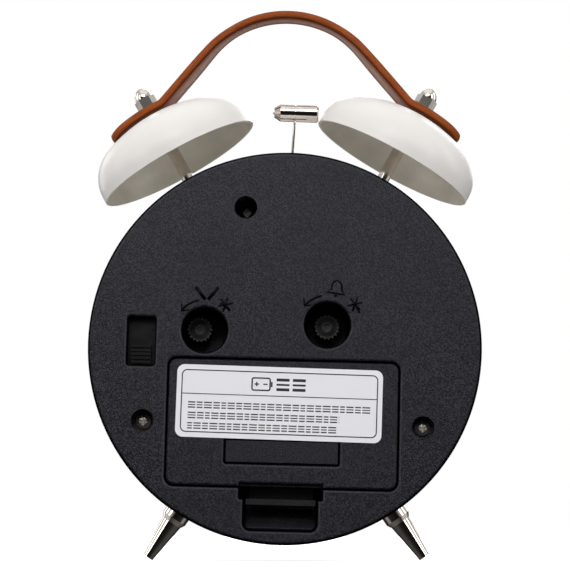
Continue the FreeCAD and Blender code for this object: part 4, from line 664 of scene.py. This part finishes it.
def label_print():
    """Frame line, rule, heading and rows, printed on the door's label."""
    low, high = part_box("door_label")
    middle = (low + high) / 2
    twist = COVER_TWIST + LABEL_TURN
    work = bmesh.new()
    out = Vector((0, 1, 0))

    def spot(x, y):
        """Place on the label's face, x to the reader's right."""
        along = -x * math.cos(twist) - y * math.sin(twist)
        upward = -x * math.sin(twist) + y * math.cos(twist)
        return Vector((middle.x + along * MM, high.y, middle.z + upward * MM))

    def line(points, width, closed=False):
        bead(work, [spot(*point) for point in points], out, width * MM, PRINT_HEIGHT * MM, closed)

    line(rounded_loop((0, 0), *LABEL_FRAME), 0.32, closed=True)
    line([(-LABEL_RULE[0], LABEL_RULE[1]), LABEL_RULE], 0.26)
    label_heading(line)
    label_rows(line)
    data = mesh_from("label_print", work, smooth=False)
    ink = flat_print("label_ink", (0.018, 0.018, 0.02), (0.03, 0.03, 0.033))
    new_piece("label_print", data, "battery_door", "label_paper", ink)


# ---- dial --------------------------------------------------------------------------------------------------

def on_dial(x, y, out=0.0):
    """Dial coordinates seen from the front, in millimetres."""
    return Vector((AXIS.x + x * MM, DIAL_FACE - out * MM, AXIS.z + y * MM))


# Millimetres on the dial.
TRACK_RADII = (46.2, 43.6)
HOUR_INNER = 42.4
NUMERAL_RADIUS = 36.4
NUMERAL_SIZE = 10.5
INK_HEIGHT = 0.03


def dial_track(ink):
    """Minute ring, minute lines and thick hour lines."""
    work = bmesh.new()
    out = Vector((0, -1, 0))
    outer, inner = TRACK_RADII
    for radius in TRACK_RADII:
        ring = [on_dial(radius * math.cos(angle), radius * math.sin(angle))
                for angle in (math.radians(1.5 * step) for step in range(240))]
        bead(work, ring, out, 0.22 * MM, INK_HEIGHT * MM, closed=True)
    for minute in range(60):
        angle = math.radians(90 - 6 * minute)
        start, width = (HOUR_INNER, 0.95) if minute % 5 == 0 else (inner, 0.28)
        ends = [on_dial(reach * math.cos(angle), reach * math.sin(angle)) for reach in (start, outer)]
        bead(work, ends, out, width * MM, INK_HEIGHT * MM)
    new_piece("dial_track", mesh_from("dial_track", work, smooth=False), "case", "dial_print", ink)


def dial_numerals(ink):
    """Numbers one to twelve, upright round the dial."""
    joined = bmesh.new()
    for hour in range(1, 13):
        curve = bpy.data.curves.new("numeral", "FONT")
        curve.body = str(hour)
        curve.align_x = "CENTER"
        curve.align_y = "CENTER"
        curve.size = NUMERAL_SIZE * MM
        curve.offset = 0.12 * MM
        curve.extrude = 0.02 * MM
        curve.resolution_u = 8
        maker = bpy.data.objects.new("numeral", curve)
        bpy.context.scene.collection.objects.link(maker)
        bpy.context.view_layer.update()
        shape = bpy.data.meshes.new_from_object(maker)
        angle = math.radians(90 - 30 * hour)
        middle = on_dial(NUMERAL_RADIUS * math.cos(angle), NUMERAL_RADIUS * math.sin(angle), 0.02)
        place = Matrix.Translation(middle)
        shape.transform(place @ Matrix.Rotation(math.pi / 2, 4, "X"))
        joined.from_mesh(shape)
        bpy.data.objects.remove(maker)
    data = bpy.data.meshes.new("dial_numerals")
    joined.to_mesh(data)
    joined.free()
    new_piece("dial_numerals", data, "case", "dial_print", ink)


# ---- leather strap -----------------------------------------------------------------------------------------

# Millimetres and degrees. "top" is the arch's height over the case's axis, "slope" is the flanks' tilt, "bend" is
# the radius of the bend above each bell, "lift" is where the strap leaves the bell, "flap" is its length past the
# nut's middle, "clear" is the gap under it, "corner" rounds its ends and "round" its edges.
STRAP = {"thick": 2.5, "wide": 14.0, "waist": 8.0, "top": 101.4, "bend": 5.0, "slope": 50.0, "lift": 26.0,
         "flap": 14.0, "clear": 0.1, "corner": 5.0, "round": 0.62}
TAPER_END, TAPER_LENGTH = 28.0, 14.0
TIP_LENGTH, TIP_SHARE = 0.7, 0.45
DENT_DEPTH, DENT_RADIUS, DENT_SPREAD = 0.22, 2.9, 1.5
TOP_CROWN, UNDER_CROWN, EDGE_CROWN = -0.12, 0.1, -0.12
FACE_STEPS, EDGE_STEPS = 12, 5
END_RINGS = (0.02, 0.12, 0.3, 0.55, 0.9, 1.35, 1.9, 2.6, 3.4, 4.2)
TOP, NEAR, UNDER, FAR = range(4)


def strap_line():
    """Half of the middle line, from the top of the arch to the flap's end: places and tangent angles."""
    middle = STRAP["thick"] / 2
    crown = CROWN + STRAP["clear"] + middle
    crown_centre = (CROWN_REACH * math.sin(BELL_ANGLE), CROWN_REACH * math.cos(BELL_ANGLE))
    lift, slope, bend = math.radians(STRAP["lift"]), math.radians(STRAP["slope"]), STRAP["bend"]
    flap = BELL_ANGLE + STRAP["flap"] / crown
    bend_centre = (crown_centre[0] + (crown + bend) * math.sin(lift),
                   crown_centre[1] + (crown + bend) * math.cos(lift))
    flank = bend_centre[0] * math.sin(slope) + bend_centre[1] * math.cos(slope) - bend
    top = STRAP["top"] - middle
    arch = (flank - top * math.cos(slope)) / (1 - math.cos(slope))
    arch_centre = (0.0, top - arch)
    points = []

    def sweep(centre, radius, start, end, flip):
        steps = max(6, int(abs(end - start) * radius / 0.7))
        for step in range(steps + 1):
            angle = start + (end - start) * step / steps
            place = (centre[0] + radius * math.sin(angle), centre[1] + radius * math.cos(angle))
            points.append((place, angle + (math.pi if flip else 0)))

    sweep(arch_centre, arch, 0, slope, False)
    start = points[-1][0]
    finish = (bend_centre[0] - bend * math.sin(slope), bend_centre[1] - bend * math.cos(slope))
    steps = int(math.dist(start, finish) / 0.8)
    for step in range(1, steps):
        share = step / steps
        place = (start[0] + (finish[0] - start[0]) * share, start[1] + (finish[1] - start[1]) * share)
        points.append((place, slope))
    sweep(bend_centre, bend, slope + math.pi, lift + math.pi, True)
    sweep(crown_centre, crown, lift, flap, False)
    return points


def strap_path():
    """The whole middle line from end to end: places with tangent angles, and the run along it to each place."""
    half = strap_line()
    places = [((-x, z), -angle) for (x, z), angle in reversed(half[1:])] + half
    runs = [0.0]
    for (before, _), (after, _) in zip(places, places[1:]):
        runs.append(runs[-1] + math.dist(after, before))
    return places, runs


def strap_at(places, runs, mark):
    """Place and tangent angle at a run along the strap."""
    index = max(1, next((spot for spot, value in enumerate(runs) if value >= mark), len(runs) - 1))
    share = (mark - runs[index - 1]) / max(1e-9, runs[index] - runs[index - 1])
    (first, first_angle), (second, second_angle) = places[index - 1], places[index]
    place = (first[0] + (second[0] - first[0]) * share, first[1] + (second[1] - first[1]) * share)
    return place, first_angle + (second_angle - first_angle) * share


def strap_section():
    """Outline of the cross-section: across and rise from -1 to 1, and the side each point is on."""
    section = [(-1 + 2 * step / FACE_STEPS, 1.0, TOP) for step in range(FACE_STEPS + 1)]
    section += [(1.0, 1 - 2 * step / EDGE_STEPS, NEAR) for step in range(1, EDGE_STEPS)]
    section += [(1 - 2 * step / FACE_STEPS, -1.0, UNDER) for step in range(FACE_STEPS + 1)]
    section += [(-1.0, -1 + 2 * step / EDGE_STEPS, FAR) for step in range(1, EDGE_STEPS)]
    return section


def strap_reach(x, end):
    """Half width where the strap is x from the middle and end from its nearer end."""
    narrowing = min(1.0, max(0.0, (TAPER_END - abs(x)) / TAPER_LENGTH))
    narrowing = narrowing * narrowing * (3 - 2 * narrowing)
    reach = (STRAP["wide"] + (STRAP["waist"] - STRAP["wide"]) * narrowing) / 2
    corner = STRAP["corner"]
    if end < corner:
        reach = reach - corner + math.sqrt(max(0.0, corner ** 2 - (corner - end) ** 2))
    return reach


def strap_ring(work, section, place, angle, end):
    """Vertices of one cross-section: rounded edges, thinned at the cut end, pressed in round the nut."""
    x, z = place
    reach = strap_reach(x, end) - STRAP["round"]
    tip = math.sqrt(max(0.0, 1 - (1 - min(1.0, end / TIP_LENGTH)) ** 2)) * (1 - TIP_SHARE) + TIP_SHARE
    tip = min(1.0, tip)
    crowns = {TOP: TOP_CROWN, UNDER: UNDER_CROWN}
    ring = []
    for across, rise, side in section:
        if side in crowns:
            width = across * reach
            crown = crowns[side] * across * across
        else:
            width = across * (reach + math.sqrt(max(0.0, 1 - rise * rise)) * STRAP["round"])
            crown = EDGE_CROWN * rise
        press = math.hypot(end - STRAP["flap"], width)
        dent = DENT_DEPTH * math.exp(-((press - DENT_RADIUS) / DENT_SPREAD) ** 2) if side == TOP else 0.0
        height = (rise * STRAP["thick"] / 2 + crown) * tip - dent
        ring.append(work.verts.new(Vector((AXIS.x + (x + math.sin(angle) * height) * MM, width * MM,
                                           AXIS.z + (z + math.cos(angle) * height) * MM))))
    return ring


def strap_faces(work, ribbon, section, rings):
    """Skins the rings. Materials: 0 on the top, 1 on the edges and ends, 2 on the underside."""
    count = len(section)
    for (first, start), (second, finish) in zip(rings, rings[1:]):
        for step in range(count):
            follow = (step + 1) % count
            here, there = section[step], section[follow]
            face = work.faces.new((first[step], first[follow], second[follow], second[step]))
            edge = {here[2], there[2]} & {NEAR, FAR}
            face.material_index = 1 if edge else (0 if here[2] == TOP else 2)
            corners = ((start, here), (start, there), (finish, there), (finish, here))
            for loop, (mark, point) in zip(face.loops, corners):
                loop[ribbon].uv = (mark, point[0] if face.material_index == 2 else point[1])
    for ring, _ in (rings[0], rings[-1]):
        work.faces.new(ring).material_index = 1


def strap_handle():
    """Leather band with rounded edges, and its faces finished apart."""
    places, runs = strap_path()
    total = runs[-1]
    marks = sorted(set(END_RINGS) | {total - value for value in END_RINGS} | set(runs))
    marks = [mark for mark in marks if END_RINGS[0] <= mark <= total - END_RINGS[0]]
    section = strap_section()
    work = bmesh.new()
    ribbon = work.loops.layers.uv.new("ribbon")
    rings = []
    for mark in marks:
        place, angle = strap_at(places, runs, mark)
        rings.append((strap_ring(work, section, place, angle, min(mark, total - mark)), mark))
    strap_faces(work, ribbon, section, rings)
    strap = new_piece("strap", mesh_from("strap", work), "case", "leather", leather_grain("strap_face"),
                      leather_edge("strap_edge"), suede("strap_underside"))
    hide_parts("strap_handle")


# ---- stage -------------------------------------------------------------------------------------------------

# Metres. The floor's glow grows between the two distances from the first strength to the second.
FLOOR_HALF = 1.6
FLOOR_REACH, FLOOR_GLOW = (0.3, 1.5), (0.6, 1.0)

# Greys from straight down (0) to straight up (1), and the walls to the sides: where they start, where they are
# full, and their grey.
FILL_STOPS = ((0.0, 0.40), (0.35, 0.32), (0.48, 0.22), (0.56, 0.34), (0.66, 0.5), (0.8, 0.68), (1.0, 0.7))
MIRROR_STOPS = ((0.0, 0.14), (0.25, 0.02), (0.45, 0.006), (0.575, 0.010), (0.64, 0.34), (0.74, 0.62),
                (1.0, 0.72))
SIDE_WALLS = (("From Min", 0.74), ("From Max", 0.9), ("To Max", 0.7))
SURROUND_STRENGTH = 0.95

# Name, place and size in metres, and power in watts.
SOFT_BOXES = (
    ("overhead", (0.0, 0.1, 1.15), (1.2, 1.2), 1.9),
    ("rear_high", (0.1, 0.95, 0.7), (0.7, 0.35), 4.4),
    ("rear_left", (0.85, 0.7, 0.3), (0.3, 0.7), 2.2),
    ("rear_right", (-0.85, 0.7, 0.3), (0.3, 0.7), 2.2),
    ("front_high", (-0.3, -1.1, 0.55), (0.9, 0.6), 4.8),
    ("front_side", (0.8, -0.8, 0.3), (0.3, 0.7), 1.6),
    ("left_side", (1.0, 0.0, 0.35), (0.25, 0.9), 1.6),
    ("right_side", (-1.0, 0.0, 0.35), (0.25, 0.9), 1.6),
)


def pale_floor():
    """Floor that glows more with distance, so that it meets the white surround without an edge."""
    work = bmesh.new()
    bmesh.ops.create_grid(work, x_segments=8, y_segments=8, size=FLOOR_HALF)
    floor = bpy.data.objects.new("floor", mesh_from("floor", work))
    bpy.context.scene.collection.objects.link(floor)
    look = Look("floor_paper", 0.85, Specular_IOR_Level=0.1, Emission_Color=(1, 1, 1, 1))
    look.colour(look.mixed(look.span(look.noise(400, 2), 0.3, 0.7), (0.93, 0.93, 0.93), (0.91, 0.91, 0.91)))
    look.bump(look.noise(2, 3), 0.01)
    reach = look.vector("LENGTH", look.place, output="Value")
    look.varied("Emission Strength", look.span(reach, *FLOOR_REACH, *FLOOR_GLOW))
    floor.data.materials.append(look.material)
    floor.visible_diffuse = False
    floor.visible_glossy = False


def grey_by_height(tree, upward, stops):
    """Ramp of greys from straight down to straight up."""
    span = tree.nodes.new("ShaderNodeMapRange")
    span.inputs["From Min"].default_value = -1
    ramp = tree.nodes.new("ShaderNodeValToRGB")
    tree.links.new(upward, span.inputs[0])
    tree.links.new(span.outputs[0], ramp.inputs[0])
    elements = ramp.color_ramp.elements
    elements.remove(elements[1])
    for index, (position, value) in enumerate(stops):
        stop = elements.new(position) if index else elements[0]
        stop.position = position
        stop.color = (value, value, value, 1)
    return ramp.outputs[0]


def side_walls(tree, sideways):
    """Pale walls to the left and right, seen in the chrome."""
    size = tree.nodes.new("ShaderNodeMath")
    size.operation = "ABSOLUTE"
    tree.links.new(sideways, size.inputs[0])
    wall = tree.nodes.new("ShaderNodeMapRange")
    for socket, value in SIDE_WALLS:
        wall.inputs[socket].default_value = value
    tree.links.new(size.outputs[0], wall.inputs[0])
    return wall.outputs[0]


def background(tree, colour, strength):
    """Background shader of a ramp or of a plain colour."""
    made = tree.nodes.new("ShaderNodeBackground")
    made.inputs[1].default_value = strength
    if isinstance(colour, bpy.types.NodeSocket):
        tree.links.new(colour, made.inputs[0])
    else:
        made.inputs[0].default_value = colour
    return made.outputs[0]


def either(tree, choice, off, on):
    """One shader or the other, by the kind of ray."""
    mix = tree.nodes.new("ShaderNodeMixShader")
    for index, socket in enumerate((choice, off, on)):
        tree.links.new(socket, mix.inputs[index])
    return mix.outputs[0]


def surround():
    """White to the camera, soft grey as light, and darker near the horizon in mirrored finishes."""
    world = bpy.data.worlds.new("studio")
    bpy.context.scene.world = world
    world.use_nodes = True
    tree = world.node_tree
    tree.nodes.clear()
    path = tree.nodes.new("ShaderNodeLightPath").outputs
    split = tree.nodes.new("ShaderNodeSeparateXYZ")
    tree.links.new(tree.nodes.new("ShaderNodeTexCoord").outputs["Generated"], split.inputs[0])
    brighter = tree.nodes.new("ShaderNodeMath")
    brighter.operation = "MAXIMUM"
    tree.links.new(grey_by_height(tree, split.outputs[2], MIRROR_STOPS), brighter.inputs[0])
    tree.links.new(side_walls(tree, split.outputs[0]), brighter.inputs[1])
    fill = background(tree, grey_by_height(tree, split.outputs[2], FILL_STOPS), SURROUND_STRENGTH)
    mirrored = background(tree, brighter.outputs[0], SURROUND_STRENGTH)
    unseen = either(tree, path["Is Glossy Ray"], fill, mirrored)
    seen = either(tree, path["Is Camera Ray"], unseen, background(tree, (1, 1, 1, 1), 1.0))
    tree.links.new(seen, tree.nodes.new("ShaderNodeOutputWorld").inputs[0])


def soft_boxes():
    """Area lights, all aimed at the middle of the clock."""
    aim = Vector((0, 0, 0.08))
    for name, place, size, energy in SOFT_BOXES:
        data = bpy.data.lights.new(name, "AREA")
        data.shape = "RECTANGLE"
        data.size, data.size_y = size
        data.energy = energy
        lamp = bpy.data.objects.new(name, data)
        lamp.location = place
        lamp.rotation_euler = (aim - Vector(place)).to_track_quat("-Z", "Y").to_euler()
        bpy.context.scene.collection.objects.link(lamp)


def stage():
    pale_floor()
    surround()
    soft_boxes()
    bpy.context.scene.view_settings.view_transform = "Standard"


def camera():
    """Behind the clock and a little above the table, looking up at it."""
    data = bpy.data.cameras.new("camera")
    data.sensor_width = 36.0
    data.lens = 129.2
    data.clip_start = 0.01
    eye = bpy.data.objects.new("camera", data)
    eye.location = (-0.0075, 0.593, 0.0095)
    eye.rotation_euler = Vector((0.0129, -0.9930, 0.1176)).to_track_quat("-Z", "Y").to_euler()
    bpy.context.scene.collection.objects.link(eye)
    bpy.context.scene.camera = eye


camera()
stage()
dress_nodes()
cover_marks()
label_print()
dial_ink = flat_print("dial_ink", (0.015, 0.015, 0.016), (0.026, 0.026, 0.027))
dial_track(dial_ink)
dial_numerals(dial_ink)
strap_handle()
